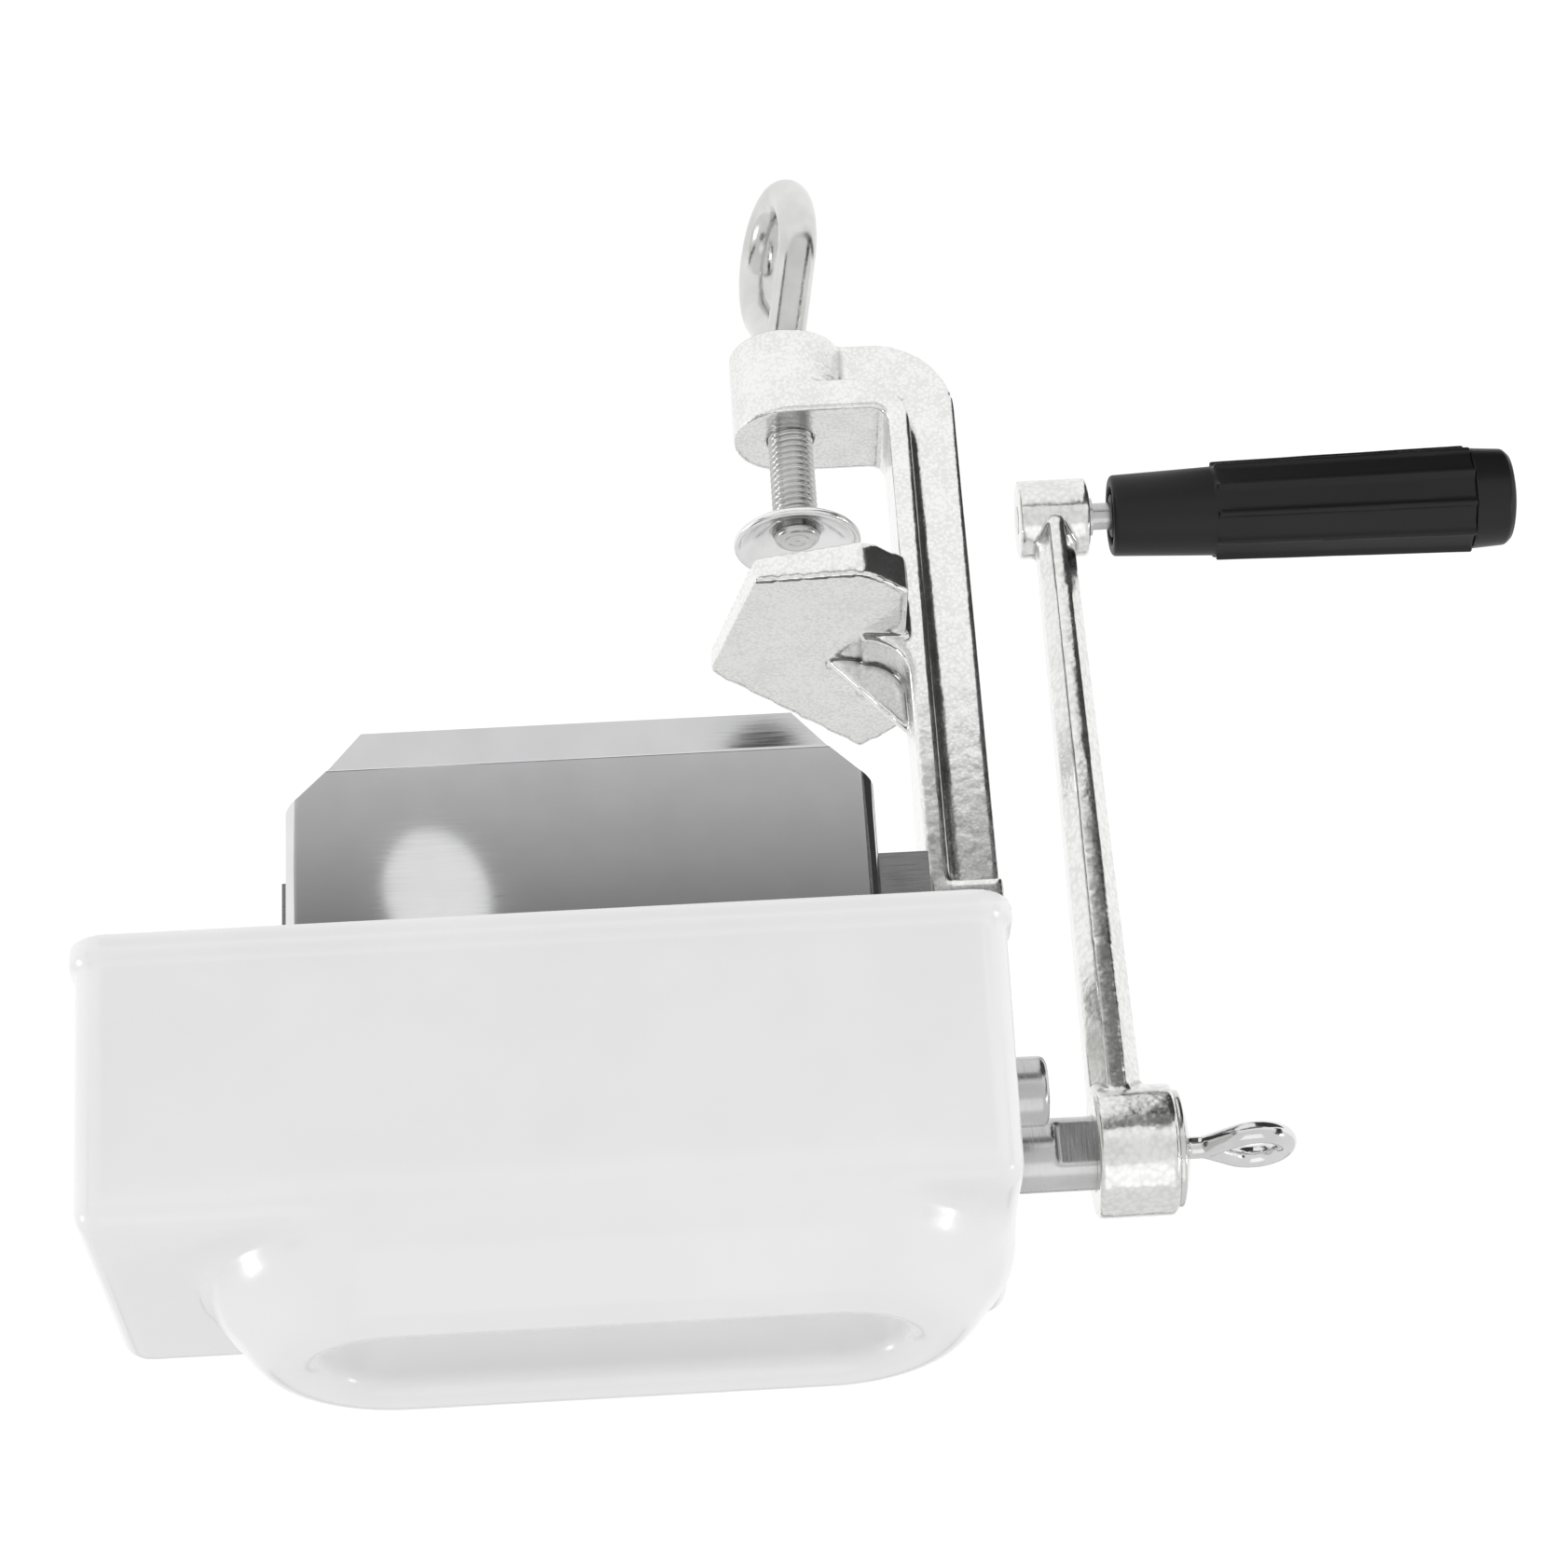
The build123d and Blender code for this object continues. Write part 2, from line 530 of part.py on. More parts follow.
def discharge_chute():
    """A bent sheet on the front comb: turned-back sides, cut lower corners and a lip bent forward."""
    x0 = ZONE_X0 + CHUTE_START
    x1 = GEAR_PLATE_IN - CHUTE_END
    y1 = -COMB_FACE
    y0 = y1 - CHUTE_THICK
    top = RAIL_TOP
    reach = CHUTE_BEND_Z - CHUTE_LIP
    clip_z = reach + CHUTE_CLIP

    # Plan of the sheet: a shallow channel with round corners, open to the back.
    channel = block(x0, x1, y0, y0 + CHUTE_SIDE, clip_z, top)
    outside = edges_along(channel, Axis.Z, lambda c: c.Y < y0 + 0.1)
    channel = fillet(outside, CHUTE_SIDE_RADIUS)
    hollow = block(x0 + CHUTE_THICK, x1 - CHUTE_THICK, y1, y0 + 2 * CHUTE_SIDE, clip_z - 1, top + 1)
    inside = edges_along(hollow, Axis.Z, lambda c: c.Y < y1 + 0.1)
    channel -= fillet(inside, CHUTE_SIDE_RADIUS - CHUTE_THICK)
    rail_face = -RAIL_Y - SEAT_GAP
    channel -= block(x0 - 1, x1 + 1, rail_face, rail_face + RAIL_THICK, RAIL_Z - SEAT_GAP, top + 1)

    inset = clip_z - CHUTE_BEND_Z
    apron = slab_y(
        [(x0, clip_z), (x1, clip_z), (x1 - inset, CHUTE_BEND_Z), (x0 + inset, CHUTE_BEND_Z)], y0, y1
    )
    lip = slab_y(
        [
            (x0 + inset, CHUTE_BEND_Z),
            (x1 - inset, CHUTE_BEND_Z),
            (x1 - CHUTE_CLIP, reach),
            (x0 + CHUTE_CLIP, reach),
        ],
        y0,
        y1,
    )
    hinge = Axis((0, y0, CHUTE_BEND_Z), (1, 0, 0))
    lip = lip.rotate(hinge, -CHUTE_LIP_ANGLE)
    wedge_half = CHUTE_THICK * math.sin(math.radians(CHUTE_LIP_ANGLE))
    drop = CHUTE_THICK * math.cos(math.radians(CHUTE_LIP_ANGLE))
    wedge = Plane(origin=(x0 + inset, 0, 0), x_dir=(0, 1, 0), z_dir=(1, 0, 0)) * make_face(
        Polyline(
            (y0, CHUTE_BEND_Z),
            (y1, CHUTE_BEND_Z),
            (y0 + drop, CHUTE_BEND_Z - wedge_half),
            close=True,
        )
    )
    sheet = channel + apron + lip + extrude(wedge, x1 - x0 - 2 * inset)
    for x in comb_screw_places():
        sheet -= comb_screw_hole(x, -1, 0)
    return sheet


# ---------------------------------------------------------------- rollers
def blade_places(count):
    """X of each blade's middle on one roller."""
    first = ZONE_MID - (count - 1) * BLADE_PITCH / 2
    return [first + i * BLADE_PITCH for i in range(count)]


def blade_outline():
    """A knife disc's outline: flat-tipped teeth with sloping flanks."""
    profile = (
        (-TOOTH_ROOT_SHARE, BLADE_ROOT),
        (-TOOTH_TIP_SHARE, BLADE_RADIUS),
        (TOOTH_TIP_SHARE, BLADE_RADIUS),
        (TOOTH_ROOT_SHARE, BLADE_ROOT),
    )
    points = []
    step = 2 * math.pi / BLADE_TEETH
    for i in range(BLADE_TEETH):
        for share, radius in profile:
            angle = (i + share) * step
            points.append((radius * math.cos(angle), radius * math.sin(angle)))
    return make_face(Polyline(*points, close=True))


def blades(blade_xs, y):
    """The knife discs of one roller."""
    discs = []
    for x in blade_xs:
        plane = Plane(origin=(x - BLADE_THICK / 2, y, AXIS_Z), x_dir=(0, 1, 0), z_dir=(1, 0, 0))
        disc = extrude(plane * blade_outline(), BLADE_THICK)
        disc -= hex_x(x - BLADE_THICK, x + BLADE_THICK, HEX_FLATS + 2 * RUN_GAP, y, AXIS_Z)
        discs.append(disc)
    return group(discs)


def spacers(blade_xs, y):
    """The rings between the knife discs, and the two longer ones at the ends."""
    edges = [ZONE_X0]
    for x in blade_xs:
        edges += [x - BLADE_THICK / 2, x + BLADE_THICK / 2]
    edges.append(ZONE_X1)
    rings = []
    for x0, x1 in zip(edges[::2], edges[1::2]):
        ring = rod_x(x0, x1, SPACER_RADIUS, y, AXIS_Z)
        rings.append(ring - hex_x(x0 - 1, x1 + 1, HEX_FLATS + 2 * RUN_GAP, y, AXIS_Z))
    return group(rings)


def roller_shaft(y, journal, crank_end):
    """Hexagonal in the blade zone, round in the bushes, with a keyed seat for its gear."""
    shaft = rod_x(crank_end, ZONE_X0, journal, y, AXIS_Z)
    shaft += hex_x(ZONE_X0, ZONE_X1, HEX_FLATS, y, AXIS_Z)
    shaft += rod_x(ZONE_X1, GEAR_PLATE_OUT + BUSH_FLANGE_THICK, GEAR_JOURNAL, y, AXIS_Z)
    shaft += rod_x(GEAR_PLATE_OUT + BUSH_FLANGE_THICK, SHAFT_END, GEAR_SEAT, y, AXIS_Z)
    groove = rod_x(CLIP_X, CLIP_X + CLIP_THICK, GEAR_SEAT + 1, y, AXIS_Z)
    groove -= rod_x(CLIP_X - 1, CLIP_X + CLIP_THICK + 1, GEAR_SEAT - CLIP_GROOVE, y, AXIS_Z)
    shaft -= groove
    return shaft - key_shape(y, 0)


def key_shape(y, gap):
    """The key that turns a gear with its shaft."""
    half = KEY_WIDTH / 2 + gap
    top = AXIS_Z + GEAR_SEAT + KEY_HEIGHT / 2
    return block(GEAR_X0 + 1, GEAR_X1 - 1, y - half, y + half, top - KEY_HEIGHT - gap, top + gap)


def gear_keys(y):
    """One parallel key."""
    return key_shape(y, 0)


def drive_shaft():
    """The rear shaft: it carries the crank on two flats and a thread for the eye screw."""
    end = HUB_OUT + 2 * SEAT_GAP
    shaft = roller_shaft(AXIS_Y, DRIVE_JOURNAL, end)
    flat = STUB_FLATS / 2
    for side in (-1, 1):
        y0, y1 = sorted((AXIS_Y + side * flat, AXIS_Y + side * 2 * DRIVE_JOURNAL))
        shaft -= block(end - 1, STEP_X, y0, y1, AXIS_Z - 2 * DRIVE_JOURNAL, AXIS_Z + 2 * DRIVE_JOURNAL)
    shaft -= rod_x(end - 1, end + EYE2_THREAD_LENGTH, EYE2_THREAD, AXIS_Y, AXIS_Z)
    return shaft


def front_roller_shaft():
    """The front shaft, whose round end shows beside the drive shaft."""
    end = COVER_X0 - FRONT_STUB
    shaft = roller_shaft(-AXIS_Y, FRONT_JOURNAL, end)
    rim = shaft.edges().filter_by(GeomType.CIRCLE).sort_by(Axis.X)[0]
    return fillet(rim, STUB_ROUND)


def gear_outline(turn):
    """Involute teeth, thinned by the backlash and turned by an angle."""
    pitch = AXIS_Y
    tip = GEAR_TIP
    root = pitch - 1.25 * GEAR_MODULE
    base = pitch * math.cos(math.radians(PRESSURE_ANGLE))
    at_pitch = math.tan(math.radians(PRESSURE_ANGLE)) - math.radians(PRESSURE_ANGLE)
    half_tooth = math.pi / (2 * GEAR_TEETH) - GEAR_BACKLASH / (2 * pitch)
    flank = []
    steps = 4
    for i in range(steps + 1):
        radius = base + (tip - base) * i / steps
        roll = math.acos(base / radius)
        flank.append((radius, half_tooth + at_pitch - (math.tan(roll) - roll)))
    points = []
    for tooth in range(GEAR_TEETH):
        centre = turn + tooth * 2 * math.pi / GEAR_TEETH
        polar = [(root, centre - flank[0][1])]
        polar += [(r, centre - a) for r, a in flank]
        polar += [(r, centre + a) for r, a in reversed(flank)]
        polar.append((root, centre + flank[0][1]))
        points += [(r * math.cos(a), r * math.sin(a)) for r, a in polar]
    return make_face(Polyline(*points, close=True))


def gear(y, turn):
    """A spur gear with a short hub and a keyway."""
    plane = Plane(origin=(GEAR_X0, y, AXIS_Z), x_dir=(0, 1, 0), z_dir=(1, 0, 0))
    wheel = extrude(plane * gear_outline(turn), GEAR_WIDTH)
    wheel += rod_x(GEAR_X0, GEAR_X1, GEAR_HUB_RADIUS, y, AXIS_Z)
    wheel -= rod_x(GEAR_X0 - 1, GEAR_X1 + 1, GEAR_SEAT + RUN_GAP, y, AXIS_Z)
    return wheel - key_shape(y, 0)


def retaining_ring(y):
    """An open ring in the shaft's groove that keeps the gear on."""
    ring = rod_x(CLIP_X, CLIP_X + CLIP_THICK, GEAR_SEAT + CLIP_OUT, y, AXIS_Z)
    ring -= rod_x(CLIP_X - 1, CLIP_X + CLIP_THICK + 1, GEAR_SEAT - CLIP_GROOVE + RUN_GAP, y, AXIS_Z)
    mouth = GEAR_SEAT * 0.8
    return ring - block(CLIP_X - 1, CLIP_X + 2, y - mouth, y + mouth, AXIS_Z - 3 * GEAR_SEAT, AXIS_Z)


def bush(x0, x1, flange_x0, flange_x1, journal, y):
    """A plain bush with a flange on one side of its end plate."""
    ring = rod_x(x0, x1, journal + BUSH_WALL, y, AXIS_Z)
    ring += rod_x(flange_x0, flange_x1, journal + BUSH_WALL + BUSH_FLANGE, y, AXIS_Z)
    low, high = min(x0, flange_x0) - 1, max(x1, flange_x1) + 1
    return ring - rod_x(low, high, journal + RUN_GAP, y, AXIS_Z)


# ---------------------------------------------------------------- hopper cover
def collar_flank(offset):
    """The collar's flank from foot to rim crest, as a curve in the (distance, z) plane."""
    foot = SLOT_WIDTH / 2 + COLLAR_SPREAD - offset
    crest = SLOT_WIDTH / 2 + RIM_RADIUS
    foot_z = COVER_TOP - COLLAR_FOOT
    crest_z = COVER_TOP + COLLAR_HEIGHT - offset
    bulge = (crest + 0.62 * (foot - crest), 0, foot_z + 0.66 * (crest_z - foot_z))
    return Spline(
        (foot, 0, foot_z), bulge, (crest, 0, crest_z), tangents=[(0, 0, 1), (-1, 0, 0)]
    )


def tub(inset, bottom, top):
    """The cover's box with drafted walls, inset evenly on every side."""
    length = COVER_LENGTH - 2 * inset
    depth = COVER_DEPTH - 2 * inset
    corner = COVER_CORNER - inset
    plan = Plane(origin=(COVER_MID, 0, bottom)) * RectangleRounded(length, depth, corner)
    solid = extrude(plan, top - bottom, taper=COVER_DRAFT)
    rim = solid.faces().sort_by(Axis.Z)[-1].edges()
    return fillet(rim, COVER_EDGE - inset)


def cover_shell():
    """White moulded cover: a box open below, with a flared collar round the feed slot on top."""
    slot_half = SLOT_WIDTH / 2
    spine = SLOT_LENGTH - SLOT_WIDTH
    crest = slot_half + RIM_RADIUS
    crest_z = COVER_TOP + COLLAR_HEIGHT
    low = COVER_TOP - 3 * COVER_EDGE
    throat_out = slot_half + COVER_WALL

    flank = collar_flank(0)
    foot = (flank @ 0).X
    outer = [
        flank,
        Line((crest, 0, crest_z), (0, 0, crest_z)),
        Line((0, 0, crest_z), (0, 0, low)),
        Line((0, 0, low), (foot, 0, low)),
        Line((foot, 0, low), flank @ 0),
    ]
    shell = tub(0, COVER_LIP_Z, COVER_TOP) + Pos(ZONE_MID, 0, 0) * oblong(outer, spine)

    lip_plan = RectangleRounded(
        COVER_LENGTH + 2 * LIP_PROUD, COVER_DEPTH + 2 * LIP_PROUD, COVER_CORNER + LIP_PROUD
    )
    lip = extrude(Plane(origin=(COVER_MID, 0, COVER_LIP_Z)) * lip_plan, LIP_HEIGHT)
    lip = fillet(lip.faces().sort_by(Axis.Z)[-1].edges(), LIP_PROUD * 0.9)
    shell += fillet(lip.faces().sort_by(Axis.Z)[0].edges(), LIP_PROUD * 0.9)

    # Hollow below: the box, and the ring-shaped space between throat and collar.
    shell -= tub(COVER_WALL, COVER_LIP_Z - 1, CEILING)
    inner = collar_flank(COVER_WALL)
    inner_foot = (inner @ 0).X
    arch_z = crest_z - COVER_WALL
    ring = [
        inner,
        Line((crest, 0, arch_z), (throat_out + 1, 0, arch_z)),
        Line((throat_out + 1, 0, arch_z), (throat_out, 0, arch_z - 1)),
        Line((throat_out, 0, arch_z - 1), (throat_out, 0, low)),
        Line((throat_out, 0, low), (inner_foot, 0, low)),
        Line((inner_foot, 0, low), inner @ 0),
    ]
    shell -= Pos(ZONE_MID, 0, 0) * oblong(ring, spine)

    # The throat's wall hangs down to just above the blades.
    wall = Plane(origin=(ZONE_MID, 0, THROAT_BOTTOM)) * SlotOverall(
        SLOT_LENGTH + 2 * COVER_WALL, 2 * throat_out
    )
    shell += extrude(wall, CEILING - THROAT_BOTTOM + 1)
    bevel = RIM_RADIUS * math.sin(math.pi / 4)
    rim_middle = (crest - bevel, 0, crest_z - RIM_RADIUS + bevel)
    slot = [
        Line((0, 0, THROAT_BOTTOM - 1), (slot_half, 0, THROAT_BOTTOM - 1)),
        Line((slot_half, 0, THROAT_BOTTOM - 1), (slot_half, 0, crest_z - RIM_RADIUS)),
        ThreePointArc((slot_half, 0, crest_z - RIM_RADIUS), rim_middle, (crest, 0, crest_z)),
        Line((crest, 0, crest_z), (crest, 0, crest_z + 1)),
        Line((crest, 0, crest_z + 1), (0, 0, crest_z + 1)),
        Line((0, 0, crest_z + 1), (0, 0, THROAT_BOTTOM - 1)),
    ]
    shell -= Pos(ZONE_MID, 0, 0) * oblong(slot, spine)

    # Notches let the cover lift off over the two shafts.
    for y, journal in ((AXIS_Y, DRIVE_JOURNAL), (-AXIS_Y, FRONT_JOURNAL)):
        r = journal + NOTCH_GAP
        x0, x1 = COVER_X0 - 2 * LIP_PROUD, PLATE_OUT
        shell -= block(x0, x1, y - r, y + r, COVER_LIP_Z - 1, AXIS_Z)
        shell -= rod_x(x0, x1, r, y, AXIS_Z)
    return shell


def cover_parts():
    """The cover's walls, and its top with collar and throat, so that each is simple to collide with."""
    throat = Plane(origin=(ZONE_MID, 0, THROAT_BOTTOM - 1)) * SlotOverall(
        SLOT_LENGTH + 4 * COVER_WALL, SLOT_WIDTH + 4 * COVER_WALL
    )
    upper = extrude(throat, CEILING - THROAT_BOTTOM + 2)
    reach = COVER_LENGTH
    upper += block(COVER_MID - reach, COVER_MID + reach, -reach, reach, CEILING, CEILING + reach)
    shell = cover_shell()
    return shell - upper, shell & upper


# ---------------------------------------------------------------- crank
def arm_section(z, thick, depth):
    """One cross-section of the arm: flat in the middle, bevelled to thin edges."""
    half, edge = thick / 2, thick * ARM_EDGE / 2
    d, flat = depth / 2, depth * ARM_RIDGE / 2
    corners = [
        (-half, -flat),
        (-edge, -d),
        (edge, -d),
        (half, -flat),
        (half, flat),
        (edge, d),
        (-edge, d),
        (-half, flat),
    ]
    outline = [(ARM_X + x, AXIS_Y + y, z) for x, y in corners]
    return make_face(Polyline(*outline, close=True))


def crank_arm():
    """One casting: hub, tapered arm and the small boss for the grip's spindle."""
    hub = rod_x(HUB_OUT, HUB_IN, HUB_RADIUS, AXIS_Y, AXIS_Z)
    hub = fillet(hub.edges().filter_by(GeomType.CIRCLE), HUB_ROUND)
    boss = rod_x(BOSS_OUT, BOSS_IN, BOSS_RADIUS, AXIS_Y, GRIP_Z)
    boss = fillet(boss.edges().filter_by(GeomType.CIRCLE), BOSS_ROUND)
    arm = loft(
        [
            arm_section(AXIS_Z, ARM_THICK_HUB, ARM_DEPTH_HUB),
            arm_section(GRIP_Z, ARM_THICK_END, ARM_DEPTH_END),
        ]
    )
    body = hub + arm + boss
    x0, x1 = HUB_OUT - 1, HUB_IN + 1
    bore = rod_x(x0, x1, DRIVE_JOURNAL + HUB_GAP, AXIS_Y, AXIS_Z)
    flat = STUB_FLATS / 2 + HUB_GAP
    reach = 2 * DRIVE_JOURNAL
    bore &= block(x0, x1, AXIS_Y - flat, AXIS_Y + flat, AXIS_Z - reach, AXIS_Z + reach)
    body -= bore
    return body - rod_x(BOSS_OUT - 1, BOSS_IN + 1, SPINDLE_RADIUS + RUN_GAP / 2, AXIS_Y, GRIP_Z)


def crank_washer():
    """The domed washer between hub and eye screw."""
    x0 = HUB_OUT
    x1 = HUB_OUT - WASHER_THICK - WASHER_DOME
    profile = [
        (x0, EYE2_THREAD + RUN_GAP),
        (x0, WASHER_RADIUS),
        (x0 - WASHER_THICK, WASHER_RADIUS),
        (x1 + 0.4 * WASHER_DOME, WASHER_RADIUS * 0.72),
        (x1, WASHER_RADIUS * 0.4),
        (x1, EYE2_THREAD + RUN_GAP),
    ]
    return turned_x(profile, AXIS_Y, AXIS_Z)


def eye_loop(length, loop, rod):
    """A teardrop eye in the XZ plane: apex at the origin, round end at z = -length."""
    centre = -length + rod + loop
    angle = math.asin(loop / -centre)
    tangent_x = loop * math.cos(angle)
    tangent_z = centre + loop * math.sin(angle)
    left = Line((0, 0, 0), (-tangent_x, 0, tangent_z))
    arc = ThreePointArc((-tangent_x, 0, tangent_z), (0, 0, centre - loop), (tangent_x, 0, tangent_z))
    right = Line((tangent_x, 0, tangent_z), (0, 0, 0))
    down = Plane(origin=(0, 0, 0), z_dir=(-tangent_x, 0, tangent_z))
    turn = Plane(origin=(-tangent_x, 0, tangent_z), z_dir=(-tangent_x, 0, tangent_z))
    back = Plane(origin=(tangent_x, 0, tangent_z), z_dir=(-tangent_x, 0, -tangent_z))
    strands = sweep(down * Circle(rod), path=left) + sweep(back * Circle(rod), path=right)
    return strands + sweep(turn * Circle(rod), path=arc) + Sphere(rod)


def crank_eye_screw():
    """A screw with a flat-lying eye that holds the crank on the drive shaft."""
    face = HUB_OUT - WASHER_THICK - WASHER_DOME
    thread_end = HUB_OUT + EYE2_THREAD_LENGTH
    loop = eye_loop(EYE2_LENGTH - EYE2_NECK_LENGTH, EYE2_LOOP, EYE2_NECK)
    loop = Pos(face - EYE2_NECK_LENGTH, AXIS_Y, AXIS_Z) * Rot(0, 90, 0) * Rot(0, 0, 90) * loop
    neck = rod_x(face - EYE2_NECK_LENGTH, face, EYE2_NECK, AXIS_Y, AXIS_Z)
    return loop + neck + rod_x(face, thread_end, EYE2_THREAD, AXIS_Y, AXIS_Z)


def grip_spindle():
    """The pin riveted in the small boss, with a collar and a retaining head inside the grip."""
    head = GRIP_OUT + GRIP_CAP_PLUG_LENGTH + SEAT_GAP
    profile = [
        (BOSS_IN, 0),
        (BOSS_IN, SPINDLE_RADIUS),
        (BOSS_OUT, SPINDLE_RADIUS),
        (BOSS_OUT, SPINDLE_COLLAR),
        (BOSS_OUT - 1, SPINDLE_COLLAR),
        (BOSS_OUT - 1, SPINDLE_RADIUS),
        (head + RIVET_THICK, SPINDLE_RADIUS),
        (head + RIVET_THICK, RIVET_RADIUS),
        (head, RIVET_RADIUS),
        (head, 0),
    ]
    return turned_x(profile, AXIS_Y, GRIP_Z)


def rib_outline(radius):
    """The grip's ribbed section: flat faces between narrow raised ribs."""
    face = radius - GRIP_RIB_DEPTH
    profile = (
        (-RIB_TOP_SHARE, radius),
        (RIB_TOP_SHARE, radius),
        (RIB_FOOT_SHARE, face),
        (1 - RIB_FOOT_SHARE, face),
    )
    points = []
    step = 2 * math.pi / GRIP_RIBS
    for i in range(GRIP_RIBS):
        for share, r in profile:
            angle = (i + share) * step
            points.append((r * math.cos(angle), r * math.sin(angle)))
    return points


def handle_grip():
    """The black grip: a plain nose and a tapered ribbed body, bored for its spindle."""
    rib_start = GRIP_IN - GRIP_NOSE
    nose = turned_x(
        [
            (GRIP_IN, 0),
            (GRIP_IN, GRIP_NOSE_RADIUS - 0.6),
            (GRIP_IN - 0.6, GRIP_NOSE_RADIUS),
            (rib_start, GRIP_NOSE_SWELL),
            (GRIP_OUT, GRIP_NOSE_SWELL),
            (GRIP_OUT, 0),
        ],
        AXIS_Y,
        GRIP_Z,
    )
    sections = []
    for x, radius in ((rib_start, GRIP_RIB_RADIUS), (GRIP_OUT, GRIP_RIB_SWELL)):
        outline = [(x, AXIS_Y + y, GRIP_Z + z) for y, z in rib_outline(radius)]
        sections.append(make_face(Polyline(*outline, close=True)))
    body = nose + loft(sections)
    recess = rod_x(GRIP_IN - GRIP_RECESS_DEPTH, GRIP_IN + 1, GRIP_NOSE_RECESS, AXIS_Y, GRIP_Z)
    recess -= rod_x(GRIP_IN - GRIP_RECESS_DEPTH, GRIP_IN + 1, SPINDLE_COLLAR + 0.6, AXIS_Y, GRIP_Z)
    body -= recess
    body -= rod_x(GRIP_OUT - 1, GRIP_IN + 1, SPINDLE_RADIUS + RUN_GAP, AXIS_Y, GRIP_Z)
    well_end = GRIP_OUT + GRIP_CAP_PLUG_LENGTH + RIVET_THICK + 2 * SEAT_GAP
    return body - rod_x(GRIP_OUT - 1, well_end, GRIP_CAP_PLUG + RUN_GAP / 2, AXIS_Y, GRIP_Z)


def grip_end_cap():
    """The slightly domed plug that closes the grip."""
    profile = [
        (GRIP_OUT + GRIP_CAP_PLUG_LENGTH, 0),
        (GRIP_OUT + GRIP_CAP_PLUG_LENGTH, GRIP_CAP_PLUG),
        (GRIP_OUT, GRIP_CAP_PLUG),
        (GRIP_OUT, GRIP_CAP_RADIUS),
        (CAP_OUT + 2, GRIP_CAP_END),
        (CAP_OUT + 0.7, GRIP_CAP_END - 1.2),
        (CAP_OUT, GRIP_CAP_END - 4),
        (CAP_OUT, 0),
    ]
    return turned_x(profile, AXIS_Y, GRIP_Z)


# ---------------------------------------------------------------- clamp screw
def clamp_screw():
    """The screw with its forged eye below and a spun-over head that holds the pad."""
    neck_low = PAD_Z - PAD_DISH - 2 * PAD_THICK
    head_low = PAD_Z - PAD_DISH + SEAT_GAP
    stem = turned_z(
        [
            (0, BOSS_BOTTOM - 2),
            (SCREW_RADIUS, BOSS_BOTTOM - 2),
            (SCREW_RADIUS, neck_low),
            (SCREW_NECK_RADIUS, neck_low),
            (SCREW_NECK_RADIUS, head_low),
            (SCREW_HEAD_RADIUS, head_low),
            (SCREW_HEAD_RADIUS, head_low + SCREW_HEAD_HEIGHT / 2),
            (SCREW_HEAD_RADIUS / 2, head_low + SCREW_HEAD_HEIGHT),
            (0, head_low + SCREW_HEAD_HEIGHT),
        ]
    )
    loop = eye_loop(EYE_DROP - 2, EYE_LOOP, EYE_ROD)
    return stem + Pos(0, 0, BOSS_BOTTOM - 2) * Rot(0, 0, EYE_TURN) * loop


def clamp_pad():
    """A dished disc that swivels on the screw's neck."""
    low = PAD_Z - PAD_DISH - PAD_THICK
    inner = PAD_BORE + 3
    return turned_z(
        [
            (PAD_BORE, low),
            (inner, low),
            (PAD_RADIUS, PAD_Z - PAD_THICK),
            (PAD_RADIUS, PAD_Z),
            (inner, low + PAD_THICK),
            (PAD_BORE, low + PAD_THICK),
        ]
    )


